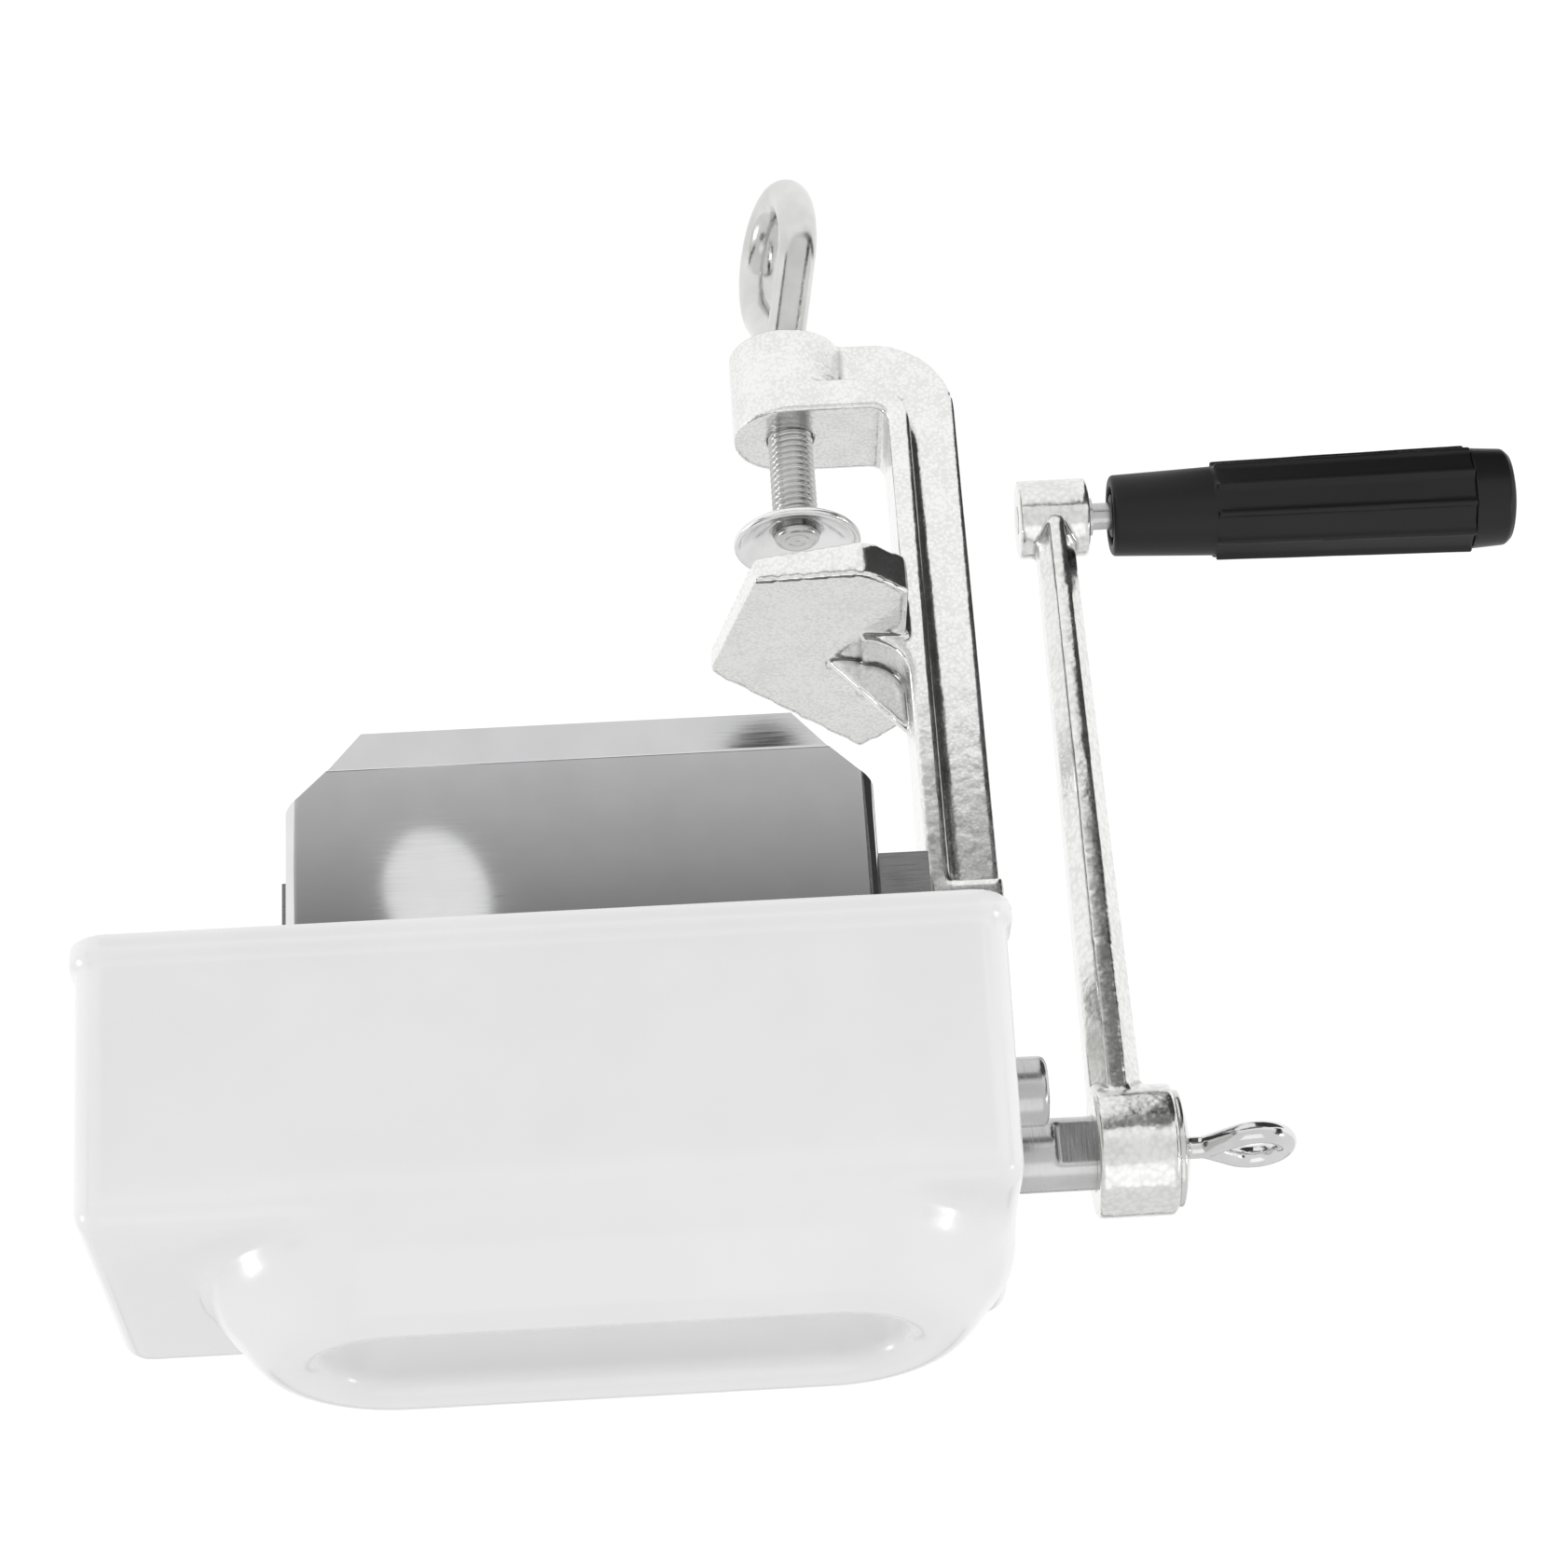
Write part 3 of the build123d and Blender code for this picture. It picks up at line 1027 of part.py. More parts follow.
# ---------------------------------------------------------------- assembly
def build_nodes():
    """Every node by name."""
    front_xs = blade_places(BLADE_COUNT)
    rear_xs = blade_places(BLADE_COUNT - 1)
    half_tooth = math.pi / GEAR_TEETH
    plate_in, plate_out = PLATE_OUT, PLATE_IN
    cover_walls, cover_top = cover_parts()
    crank_flange = (PLATE_IN, PLATE_IN + BUSH_FLANGE_THICK)
    gear_flange = (GEAR_PLATE_OUT, GEAR_PLATE_OUT + BUSH_FLANGE_THICK)
    return {
        "clamp_frame": clamp_frame(),
        "gear_side_plate": gear_side_plate(),
        "front_rail": rail(-1),
        "rear_rail": rail(1),
        "rail_screws": rail_screws(),
        "front_comb": comb(-1, front_xs),
        "rear_comb": comb(1, rear_xs),
        "front_comb_screws": comb_screws(-1, CHUTE_THICK),
        "rear_comb_screws": comb_screws(1, 0),
        "discharge_chute": discharge_chute(),
        "drive_shaft": drive_shaft(),
        "front_roller_shaft": front_roller_shaft(),
        "rear_blades": blades(rear_xs, AXIS_Y),
        "front_blades": blades(front_xs, -AXIS_Y),
        "rear_spacers": spacers(rear_xs, AXIS_Y),
        "front_spacers": spacers(front_xs, -AXIS_Y),
        "drive_gear": gear(AXIS_Y, 0),
        "driven_gear": gear(-AXIS_Y, half_tooth),
        "drive_gear_key": gear_keys(AXIS_Y),
        "driven_gear_key": gear_keys(-AXIS_Y),
        "drive_gear_ring": retaining_ring(AXIS_Y),
        "driven_gear_ring": retaining_ring(-AXIS_Y),
        "drive_bush_crank_side": bush(plate_in, plate_out, *crank_flange, DRIVE_JOURNAL, AXIS_Y),
        "front_bush_crank_side": bush(plate_in, plate_out, *crank_flange, FRONT_JOURNAL, -AXIS_Y),
        "drive_bush_gear_side": bush(GEAR_PLATE_IN, GEAR_PLATE_OUT, *gear_flange, GEAR_JOURNAL, AXIS_Y),
        "front_bush_gear_side": bush(GEAR_PLATE_IN, GEAR_PLATE_OUT, *gear_flange, GEAR_JOURNAL, -AXIS_Y),
        "cover_walls": cover_walls,
        "cover_top": cover_top,
        "crank_arm": crank_arm(),
        "crank_washer": crank_washer(),
        "crank_eye_screw": crank_eye_screw(),
        "grip_spindle": grip_spindle(),
        "handle_grip": handle_grip(),
        "grip_end_cap": grip_end_cap(),
        "clamp_screw": clamp_screw(),
        "clamp_pad": clamp_pad(),
    }


os.makedirs("parts", exist_ok=True)
for name, shape in build_nodes().items():
    export_step(shape, f"parts/{name}.step")
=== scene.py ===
"""Studio scene for a hand-cranked meat tenderizer with a table clamp.

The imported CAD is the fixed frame. Castings, the moulded cover, the threaded screw, the sheet-metal chute
and the ribbed grip are rebuilt here as finer pieces. Everything is in metres in the CAD's own frame.
"""

import json
import math

import bmesh
import bpy
from mathutils import Matrix, Vector


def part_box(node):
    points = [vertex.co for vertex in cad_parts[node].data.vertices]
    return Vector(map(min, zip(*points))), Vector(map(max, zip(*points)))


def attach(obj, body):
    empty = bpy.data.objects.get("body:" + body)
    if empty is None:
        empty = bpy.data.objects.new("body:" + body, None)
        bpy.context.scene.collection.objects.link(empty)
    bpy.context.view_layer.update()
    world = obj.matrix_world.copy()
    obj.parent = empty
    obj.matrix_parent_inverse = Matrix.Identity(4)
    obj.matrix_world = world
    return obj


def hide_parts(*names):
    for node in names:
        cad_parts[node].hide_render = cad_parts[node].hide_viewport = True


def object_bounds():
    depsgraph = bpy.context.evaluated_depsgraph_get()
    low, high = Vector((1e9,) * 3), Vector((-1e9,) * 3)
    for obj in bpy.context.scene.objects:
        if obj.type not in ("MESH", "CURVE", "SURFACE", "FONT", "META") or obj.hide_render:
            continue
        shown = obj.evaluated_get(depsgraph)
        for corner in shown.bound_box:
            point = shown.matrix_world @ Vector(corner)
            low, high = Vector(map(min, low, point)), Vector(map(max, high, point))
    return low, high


MM = 0.001

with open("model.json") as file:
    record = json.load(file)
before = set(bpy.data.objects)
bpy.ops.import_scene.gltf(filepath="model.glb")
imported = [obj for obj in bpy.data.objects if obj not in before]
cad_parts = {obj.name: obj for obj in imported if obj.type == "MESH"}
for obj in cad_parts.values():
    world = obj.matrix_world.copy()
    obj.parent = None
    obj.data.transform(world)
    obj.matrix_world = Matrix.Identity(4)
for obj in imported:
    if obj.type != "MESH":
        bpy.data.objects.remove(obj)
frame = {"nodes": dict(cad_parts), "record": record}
nodes = frame["nodes"]
cad_low, cad_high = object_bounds()


# ---------------------------------------------------------------- mesh helpers
def mesh_object(name, bm, smooth=True):
    """A new object from a bmesh, shaded smooth or flat."""
    mesh = bpy.data.meshes.new(name)
    bmesh.ops.recalc_face_normals(bm, faces=bm.faces)
    bm.to_mesh(mesh)
    bm.free()
    for polygon in mesh.polygons:
        polygon.use_smooth = smooth
    piece = bpy.data.objects.new(name, mesh)
    bpy.context.scene.collection.objects.link(piece)
    return piece


def apply_modifiers(piece):
    """Replaces a piece's mesh by what its modifiers make of it."""
    graph = bpy.context.evaluated_depsgraph_get()
    graph.update()
    mesh = bpy.data.meshes.new_from_object(piece.evaluated_get(graph))
    old = piece.data
    piece.modifiers.clear()
    piece.data = mesh
    mesh.name = piece.name
    bpy.data.meshes.remove(old)


def shade_by_angle(piece, degrees):
    """Smooth shading that stops at edges sharper than an angle."""
    for polygon in piece.data.polygons:
        polygon.use_smooth = True
    piece.data.set_sharp_from_angle(angle=math.radians(degrees))


def grid_faces(bm, rows, closed=True):
    """Quads between neighbouring rows of vertices; closed rows join end to end."""
    for low, high in zip(rows, rows[1:]):
        count = len(low)
        last = count if closed else count - 1
        for i in range(last):
            j = (i + 1) % count
            bm.faces.new((low[i], low[j], high[j], high[i]))


def rings(bm, profile, segments=96):
    """Circles of vertices about the Z axis, one for each (height, radius) of a profile."""
    rows = []
    for z, radius in profile:
        angles = [2 * math.pi * i / segments for i in range(segments)]
        rows.append([bm.verts.new((radius * math.cos(a), radius * math.sin(a), z)) for a in angles])
    return rows


def lathe(name, profile):
    """A turned solid about the Z axis. The profile is (height, radius) from one flat end to the other."""
    bm = bmesh.new()
    rows = rings(bm, profile)
    grid_faces(bm, rows)
    bm.faces.new(rows[0])
    bm.faces.new(rows[-1])
    return mesh_object(name, bm)


def turned_ring(name, profile):
    """A turned piece about the Z axis whose profile is a closed outline that never meets the axis."""
    bm = bmesh.new()
    grid_faces(bm, rings(bm, profile + profile[:1]))
    bmesh.ops.remove_doubles(bm, verts=bm.verts, dist=1e-7)
    return mesh_object(name, bm)


def soften(sources, name, voxel, rounds, cut_above=None):
    """A finer copy of one or more CAD nodes with edges rounded as a casting's or moulding's are."""
    bm = bmesh.new()
    for node in sources:
        bm.from_mesh(nodes[node].data)
    bmesh.ops.remove_doubles(bm, verts=bm.verts, dist=1e-6)
    if cut_above is not None:
        geometry = bm.verts[:] + bm.edges[:] + bm.faces[:]
        cut = bmesh.ops.bisect_plane(
            bm, geom=geometry, plane_co=(0, 0, cut_above), plane_no=(0, 0, 1), clear_outer=True
        )
        rim = [item for item in cut["geom_cut"] if isinstance(item, bmesh.types.BMEdge)]
        bmesh.ops.holes_fill(bm, edges=rim, sides=0)
    piece = mesh_object(name, bm)
    remesh = piece.modifiers.new("voxels", "REMESH")
    remesh.mode = "VOXEL"
    remesh.voxel_size = voxel
    remesh.adaptivity = 0.0
    relax = piece.modifiers.new("relax", "SMOOTH")
    relax.factor = 0.5
    relax.iterations = rounds
    apply_modifiers(piece)
    for polygon in piece.data.polygons:
        polygon.use_smooth = True
    return piece


def finish_piece(piece, body, slot, look, *replaced):
    """Gives a piece its material and body, and hides the CAD nodes that it stands for; slot is not used."""
    piece.data.materials.clear()
    piece.data.materials.append(look)
    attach(piece, body)
    if replaced:
        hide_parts(*replaced)


# ---------------------------------------------------------------- material helpers
class Look:
    """A procedural material and short calls that add nodes to it."""

    def __init__(self, name, colour, roughness, metallic=0.0):
        self.material = bpy.data.materials.new(name)
        self.material.use_nodes = True
        self.nodes = self.material.node_tree.nodes
        self.links = self.material.node_tree.links
        self.shader = self.nodes["Principled BSDF"]
        self.shader.inputs["Base Color"].default_value = (*colour, 1)
        self.shader.inputs["Roughness"].default_value = roughness
        self.shader.inputs["Metallic"].default_value = metallic
        self.coords = self.nodes.new("ShaderNodeTexCoord").outputs["Object"]
        self.height = None

    def noise(self, size, detail=3.0, stretch=(1, 1, 1), distortion=0.0):
        """Cloudy noise with features about size metres across."""
        mapping = self.nodes.new("ShaderNodeMapping")
        mapping.inputs["Scale"].default_value = stretch
        self.links.new(self.coords, mapping.inputs["Vector"])
        texture = self.nodes.new("ShaderNodeTexNoise")
        texture.inputs["Scale"].default_value = 1 / size
        texture.inputs["Detail"].default_value = detail
        texture.inputs["Distortion"].default_value = distortion
        self.links.new(mapping.outputs["Vector"], texture.inputs["Vector"])
        return texture.outputs["Fac"]

    def pebbles(self, size):
        """Rounded grains about size metres across."""
        texture = self.nodes.new("ShaderNodeTexVoronoi")
        texture.feature = "SMOOTH_F1"
        texture.inputs["Scale"].default_value = 1 / size
        texture.inputs["Smoothness"].default_value = 0.6
        self.links.new(self.coords, texture.inputs["Vector"])
        return texture.outputs["Distance"]

    def spread(self, value, low, high, to_low=0.0, to_high=1.0):
        """Maps low..high onto to_low..to_high, clamped."""
        node = self.nodes.new("ShaderNodeMapRange")
        node.inputs["From Min"].default_value = low
        node.inputs["From Max"].default_value = high
        node.inputs["To Min"].default_value = to_low
        node.inputs["To Max"].default_value = to_high
        self.links.new(value, node.inputs["Value"])
        return node.outputs["Result"]

    def combine(self, kind, first, second):
        """A maths node between two sockets or numbers."""
        node = self.nodes.new("ShaderNodeMath")
        node.operation = kind
        for slot, item in enumerate((first, second)):
            if isinstance(item, (int, float)):
                node.inputs[slot].default_value = item
            else:
                self.links.new(item, node.inputs[slot])
        return node.outputs[0]

    def blend_colour(self, amount, first, second):
        """Colour that goes from first to second with amount; each is a socket or three numbers."""
        node = self.nodes.new("ShaderNodeMix")
        node.data_type = "RGBA"
        for slot, item in ((6, first), (7, second)):
            if isinstance(item, tuple):
                node.inputs[slot].default_value = (*item, 1)
            else:
                self.links.new(item, node.inputs[slot])
        self.links.new(amount, node.inputs[0])
        return node.outputs[2]

    def edges(self, low, high):
        """Pointiness mapped from low to high: near 1 on worn convex edges, or near 1 in concave creases
        (used there for painted shade) when low is above high.
        """
        geometry = self.nodes.new("ShaderNodeNewGeometry")
        return self.spread(geometry.outputs["Pointiness"], low, high)

    def colour(self, socket):
        self.links.new(socket, self.shader.inputs["Base Color"])

    def roughness(self, socket):
        self.links.new(socket, self.shader.inputs["Roughness"])

    def relief(self, height, depth, strength=1.0):
        """Adds surface relief of a given depth in metres on top of earlier relief."""
        bump = self.nodes.new("ShaderNodeBump")
        bump.inputs["Strength"].default_value = strength
        bump.inputs["Distance"].default_value = depth
        self.links.new(height, bump.inputs["Height"])
        if self.height is not None:
            self.links.new(self.height, bump.inputs["Normal"])
        self.height = bump.outputs["Normal"]
        self.links.new(self.height, self.shader.inputs["Normal"])


def cast_metal(name, tone, grain, depth, roughness, brushed_from=None):
    """Bright plated casting: pebbled skin, dull and bright patches, polished worn edges, and painted shade
    in concave creases.
    Faces farther from the middle plane than brushed_from are ground with fine lines along Z."""
    look = Look(name, tone, roughness, metallic=1.0)
    clouds = look.noise(7 * MM, detail=4)
    fine = look.noise(grain, detail=4)
    grains = look.pebbles(grain * 1.5)
    dull_tone = tuple(0.86 * c for c in tone)
    painted_crease_shade_tone = tuple(0.22 * c for c in tone)
    pits = look.spread(grains, 0.15, 0.75, 1.0, 0.0)
    from_pits = look.combine("MULTIPLY", pits, 0.35)
    mottled = look.combine("ADD", from_pits, look.combine("MULTIPLY", clouds, 0.65))
    polished = look.edges(0.52, 0.60)
    bright = look.combine("MAXIMUM", look.spread(mottled, 0.32, 0.60), polished)
    skin_tone = look.blend_colour(bright, dull_tone, tone)
    # Painted shade: concave creases, found by low pointiness, are darkened towards a near-black copy of the
    # tone.
    painted_crease_shade = look.edges(0.492, 0.455)
    look.colour(look.blend_colour(painted_crease_shade, skin_tone, painted_crease_shade_tone))
    skin = look.spread(fine, 0.3, 0.7, roughness * 0.7, roughness * 1.4)
    dull = look.spread(clouds, 0.3, 0.7, 0.7, 1.25)
    look.roughness(look.combine("MULTIPLY", skin, dull))
    look.relief(look.noise(5 * MM, detail=2), 0.16 * MM)
    pebble = look.combine("MULTIPLY", grains, look.spread(clouds, 0.35, 0.6, 0.4, 1.0))
    if brushed_from is not None:
        axes = look.nodes.new("ShaderNodeSeparateXYZ")
        look.links.new(look.coords, axes.inputs["Vector"])
        off_middle = look.combine("ABSOLUTE", axes.outputs["Y"], 0.0)
        ground = look.spread(off_middle, brushed_from - 0.4 * MM, brushed_from)
        lines = look.noise(0.35 * MM, detail=2, stretch=(1, 1, 0.04))
        look.relief(look.combine("MULTIPLY", lines, ground), depth * 1.2)
        pebble = look.combine("MULTIPLY", pebble, look.spread(ground, 0.0, 1.0, 1.0, 0.15))
    look.relief(pebble, depth)
    look.relief(fine, depth * 0.4)
    return look.material


def machined_metal(name, tone, roughness, lines, stretch, depth=0.006 * MM, drift=0.82):
    """Turned, ground or brushed steel with fine lines across the stretch direction."""
    look = Look(name, tone, roughness, metallic=1.0)
    streaks = look.noise(lines, detail=2, stretch=stretch)
    clouds = look.noise(12 * MM, detail=4)
    dark = tuple(drift * c for c in tone)
    look.colour(look.blend_colour(look.spread(clouds, 0.35, 0.65), dark, tone))
    look.roughness(look.spread(streaks, 0.3, 0.7, roughness * 0.8, roughness * 1.3))
    look.relief(streaks, depth)
    return look.material


def paint_throat_glow(look, middle, half_length, half_width, z_low, z_high, strength):
    """Painted light: an emitted glow on the throat's inner walls, growing downwards, brightens the shade
    there.
    """
    axes = look.nodes.new("ShaderNodeSeparateXYZ")
    look.links.new(look.coords, axes.inputs["Vector"])
    across = look.combine("ABSOLUTE", axes.outputs["Y"], 0.0)
    along = look.combine("ABSOLUTE", look.combine("SUBTRACT", axes.outputs["X"], middle), 0.0)
    in_width = look.spread(across, half_width, half_width - 1 * MM)
    in_length = look.spread(along, half_length, half_length - 1 * MM)
    inside = look.combine("MULTIPLY", in_width, in_length)
    depth = look.spread(axes.outputs["Z"], z_high, z_low, 0.0, strength)
    look.shader.inputs["Emission Color"].default_value = (1, 1, 1, 1)
    look.links.new(look.combine("MULTIPLY", inside, depth), look.shader.inputs["Emission Strength"])


def moulded_plastic(name, tone, roughness, grain, depth, coat=0.0, gloss=0.5, glow=None):
    """Moulded plastic with a faint skin texture, tone drift and light scuffs."""
    look = Look(name, tone, roughness)
    clouds = look.noise(22 * MM, detail=3)
    scuffs = look.noise(3 * MM, detail=5, stretch=(0.25, 1, 1.6), distortion=0.8)
    dim = tuple(0.975 * c for c in tone)
    look.colour(look.blend_colour(look.spread(clouds, 0.3, 0.7), dim, tone))
    worn = look.spread(scuffs, 0.60, 0.80, 0.0, 0.04)
    look.roughness(look.combine("ADD", worn, look.spread(clouds, 0.3, 0.7, roughness, roughness * 1.25)))
    look.relief(look.noise(grain, detail=2), depth)
    # Painted light: optional emitted glow inside the throat.
    if glow:
        paint_throat_glow(look, **glow)
    look.shader.inputs["Specular IOR Level"].default_value = gloss
    look.shader.inputs["Coat Weight"].default_value = coat
    look.shader.inputs["Coat Roughness"].default_value = 0.05
    return look.material


# ---------------------------------------------------------------- materials
STEEL_TONE = (0.34, 0.34, 0.34)
BLACK_TONE = (0.010, 0.010, 0.011)
looks = {
    "cast_frame": cast_metal(
        "cast_frame", (0.88, 0.88, 0.87), 0.5 * MM, 0.014 * MM, 0.17, brushed_from=12.3 * MM
    ),
    "cast_crank": cast_metal("cast_crank", (0.84, 0.84, 0.83), 0.8 * MM, 0.030 * MM, 0.18),
    "steel_plate": machined_metal("steel_plate", STEEL_TONE, 0.30, 0.5 * MM, (0.05, 1, 1)),
    "fasteners": machined_metal("fasteners", (0.62, 0.62, 0.60), 0.28, 0.4 * MM, (1, 1, 1)),
    "comb_steel": machined_metal("comb_steel", (0.68, 0.68, 0.68), 0.26, 0.4 * MM, (0.08, 1, 1)),
    "chute_steel": machined_metal(
        "chute_steel", (0.74, 0.74, 0.75), 0.055, 0.35 * MM, (0.03, 1, 1), 0.0006 * MM, drift=0.95
    ),
    "shaft_steel": machined_metal("shaft_steel", (0.60, 0.60, 0.60), 0.22, 0.25 * MM, (1, 0.04, 0.04)),
    "blade_steel": machined_metal("blade_steel", (0.74, 0.74, 0.75), 0.2, 0.3 * MM, (1, 0.2, 0.2)),
    "gear_steel": machined_metal("gear_steel", (0.50, 0.50, 0.50), 0.35, 0.4 * MM, (0.1, 1, 1)),
    "ring_steel": machined_metal("ring_steel", (0.30, 0.30, 0.30), 0.35, 0.4 * MM, (1, 1, 1)),
    "bush_bronze": machined_metal("bush_bronze", (0.66, 0.50, 0.30), 0.4, 0.3 * MM, (1, 0.2, 0.2)),
    "washer_steel": machined_metal("washer_steel", (0.75, 0.75, 0.74), 0.16, 0.3 * MM, (1, 0.3, 0.3)),
    "eye_steel": machined_metal("eye_steel", (0.76, 0.76, 0.76), 0.12, 0.5 * MM, (0.3, 1, 1)),
    "screw_steel": machined_metal("screw_steel", (0.72, 0.72, 0.71), 0.2, 0.5 * MM, (1, 1, 0.3)),
    "pad_steel": machined_metal("pad_steel", (0.92, 0.92, 0.92), 0.2, 0.4 * MM, (0.5, 0.5, 1)),
    "cover_plastic": moulded_plastic(
        "cover_plastic", (0.82, 0.82, 0.82), 0.2, 1.5 * MM, 0.002 * MM, 0.25,
        # Painted light inside the throat: its walls glow, more towards the bottom.
        glow={
            "middle": 46.5 * MM, "half_length": 59.5 * MM, "half_width": 17.5 * MM,
            "z_low": 142 * MM, "z_high": 160 * MM, "strength": 0.30,
        },
    ),
    "spacer_plastic": moulded_plastic("spacer_plastic", (0.78, 0.78, 0.75), 0.4, 0.8 * MM, 0.01 * MM),
    "grip_plastic": moulded_plastic("grip_plastic", BLACK_TONE, 0.40, 0.35 * MM, 0.014 * MM, gloss=0.3),
    "cap_plastic": moulded_plastic("cap_plastic", BLACK_TONE, 0.36, 0.35 * MM, 0.012 * MM, gloss=0.3),
}

slot_of = {part["node"]: part["material_slot"] for part in frame["record"]["subparts"]}
for node, thing in nodes.items():
    thing.data.materials.clear()
    thing.data.materials.append(looks[slot_of[node]])


# ---------------------------------------------------------------- castings, cover and small parts
def blend_collar(piece, spine, reach, width, band, rounds):
    """Relaxes the cover only round the collar's foot, so that collar and box flow into each other."""
    group = piece.vertex_groups.new(name="collar_foot")
    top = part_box("cover_top")[1].z
    box_top = top - COLLAR_RISE
    for vertex in piece.data.vertices:
        x, y, z = vertex.co
        along = min(max(x, spine[0]), spine[1])
        away = abs(math.hypot(x - along, y) - reach) / width
        height = abs(z - box_top) / band
        weight = max(0.0, 1 - max(away, height) ** 2)
        if weight > 0:
            group.add([vertex.index], weight, "REPLACE")
    relax = piece.modifiers.new("blend", "SMOOTH")
    relax.factor = 0.5
    relax.iterations = rounds
    relax.vertex_group = group.name
    apply_modifiers(piece)
    for polygon in piece.data.polygons:
        polygon.use_smooth = True


COLLAR_RISE = 18.1 * MM       # the collar's rim above the box's top
COLLAR_REACH = 37.6 * MM      # the collar's foot from the throat's middle line
THROAT_LINE = (4.5 * MM, 88.5 * MM)  # ends of that line, along X

finish_piece(
    soften(["clamp_frame"], "clamp_casting", 0.6 * MM, 6),
    "frame", "cast_frame", looks["cast_frame"], "clamp_frame",
)
finish_piece(
    soften(["crank_arm"], "crank_casting", 0.5 * MM, 6),
    "crank_roller", "cast_crank", looks["cast_crank"], "crank_arm",
)
cover = soften(["cover_walls", "cover_top"], "cover_moulding", 0.75 * MM, 5)
blend_collar(cover, THROAT_LINE, COLLAR_REACH, width=8 * MM, band=9 * MM, rounds=60)
finish_piece(cover, "cover", "cover_plastic", looks["cover_plastic"], "cover_walls", "cover_top")

SOFT_PIECES = (
    ("drive_shaft", "drive_shaft_turned", 0.45 * MM, 3, "crank_roller", "shaft_steel"),
    ("front_roller_shaft", "front_shaft_turned", 0.45 * MM, 3, "front_roller", "shaft_steel"),
    ("crank_eye_screw", "eye_screw_forged", 0.3 * MM, 4, "crank_roller", "eye_steel"),
    ("crank_washer", "washer_pressed", 0.25 * MM, 4, "crank_roller", "washer_steel"),
    ("handle_grip", "grip_moulded", 0.35 * MM, 3, "grip", "grip_plastic"),
    ("grip_end_cap", "cap_moulded", 0.35 * MM, 4, "grip", "cap_plastic"),
    ("front_comb", "front_comb_stamped", 0.3 * MM, 2, "frame", "comb_steel"),
    ("rear_comb", "rear_comb_stamped", 0.3 * MM, 2, "frame", "comb_steel"),
)
for node, name, voxel, rounds, body, slot in SOFT_PIECES:
    finish_piece(soften([node], name, voxel, rounds), body, slot, looks[slot], node)


# ---------------------------------------------------------------- discharge chute
SHEET_THICK = 1.0 * MM
SHEET_MIDDLE_Y = -23.0 * MM   # halfway through the sheet
SIDE_RADIUS = 2.3 * MM        # of the folds where the sides turn back
SIDE_DEPTH = 1.35 * MM        # how far they turn back
BEND_Z = 40.0 * MM            # where the lip begins
BEND_RADIUS = 2.0 * MM
BEND_ANGLE = math.radians(25)
LIP_LENGTH = 7.2 * MM
CORNER_CUT = 16.0 * MM        # width of a cut corner, along X
SHEET_ROWS, BEND_ROWS = 150, 8
SHEET_COLUMNS, FOLD_COLUMNS = 80, 14


def bent_sheet(name, low, high):
    """The chute as one bent sheet: turned-back sides, 45 degree cut corners and a lip bent forward.
    A point of the flat sheet is u across from the middle and s down from the top edge."""
    top = high.z
    middle = (low.x + high.x) / 2
    flat_half = (high.x - low.x) / 2 - SIDE_RADIUS - SHEET_THICK / 2
    side = SIDE_RADIUS * math.acos(1 - SIDE_DEPTH / SIDE_RADIUS)
    bend_start = top - BEND_Z - BEND_RADIUS * math.tan(BEND_ANGLE / 2)
    bend_length = BEND_RADIUS * BEND_ANGLE
    total = top - BEND_Z + LIP_LENGTH
    cut_end = flat_half + SIDE_RADIUS + SHEET_THICK / 2 - CORNER_CUT
    cut_start = total - (flat_half + side - cut_end)

    def half_width(s):
        return flat_half + side - max(0.0, s - cut_start)

    def point(u, s):
        beyond = max(0.0, abs(u) - flat_half)
        angle = min(beyond / SIDE_RADIUS, math.pi / 2)
        x = min(abs(u), flat_half) + SIDE_RADIUS * math.sin(angle)
        back = SIDE_RADIUS * (1 - math.cos(angle)) + max(0.0, beyond - SIDE_RADIUS * math.pi / 2)
        if s <= bend_start:
            y, z = 0.0, top - s
        else:
            turned = min((s - bend_start) / BEND_RADIUS, BEND_ANGLE)
            y = -BEND_RADIUS * (1 - math.cos(turned))
            z = top - bend_start - BEND_RADIUS * math.sin(turned)
            rest = max(0.0, s - bend_start - bend_length)
            y -= rest * math.sin(BEND_ANGLE)
            z -= rest * math.cos(BEND_ANGLE)
        return (middle + math.copysign(x, u), SHEET_MIDDLE_Y + y + back, z)

    down = [total * i / SHEET_ROWS for i in range(SHEET_ROWS + 1)]
    down += [bend_start + bend_length * i / BEND_ROWS for i in range(BEND_ROWS + 1)]
    down.append(cut_start)
    down.sort()
    across = [flat_half * (2 * i / SHEET_COLUMNS - 1) for i in range(SHEET_COLUMNS + 1)]
    fold = [flat_half + side * (i + 1) / FOLD_COLUMNS for i in range(FOLD_COLUMNS)]
    widest = flat_half + side
    shares = [u / widest for u in sorted([-u for u in fold] + across + fold)]
    bm = bmesh.new()
    rows = []
    for s in down:
        half = half_width(s)
        rows.append([bm.verts.new(point(half * share, s)) for share in shares])
    grid_faces(bm, rows, closed=False)
    piece = mesh_object(name, bm)
    solid = piece.modifiers.new("thickness", "SOLIDIFY")
    solid.thickness = SHEET_THICK
    solid.offset = 0.0
    apply_modifiers(piece)
    shade_by_angle(piece, 40)
    return piece


finish_piece(
    bent_sheet("chute_sheet", *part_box("discharge_chute")),
    "frame", "chute_steel", looks["chute_steel"], "discharge_chute",
)


# ---------------------------------------------------------------- clamp screw
THREAD_PITCH = 1.5 * MM
THREAD_DEPTH = 0.85 * MM
THREAD_RADIUS = 4.95 * MM
CREST_SHARE = 0.12            # half the flat crest, as a share of half the pitch
FLANK_SHARE = 0.72
RUNOUT = 1.5 * THREAD_PITCH
ROWS_PER_PITCH = 10
THREAD_SEGMENTS = 48


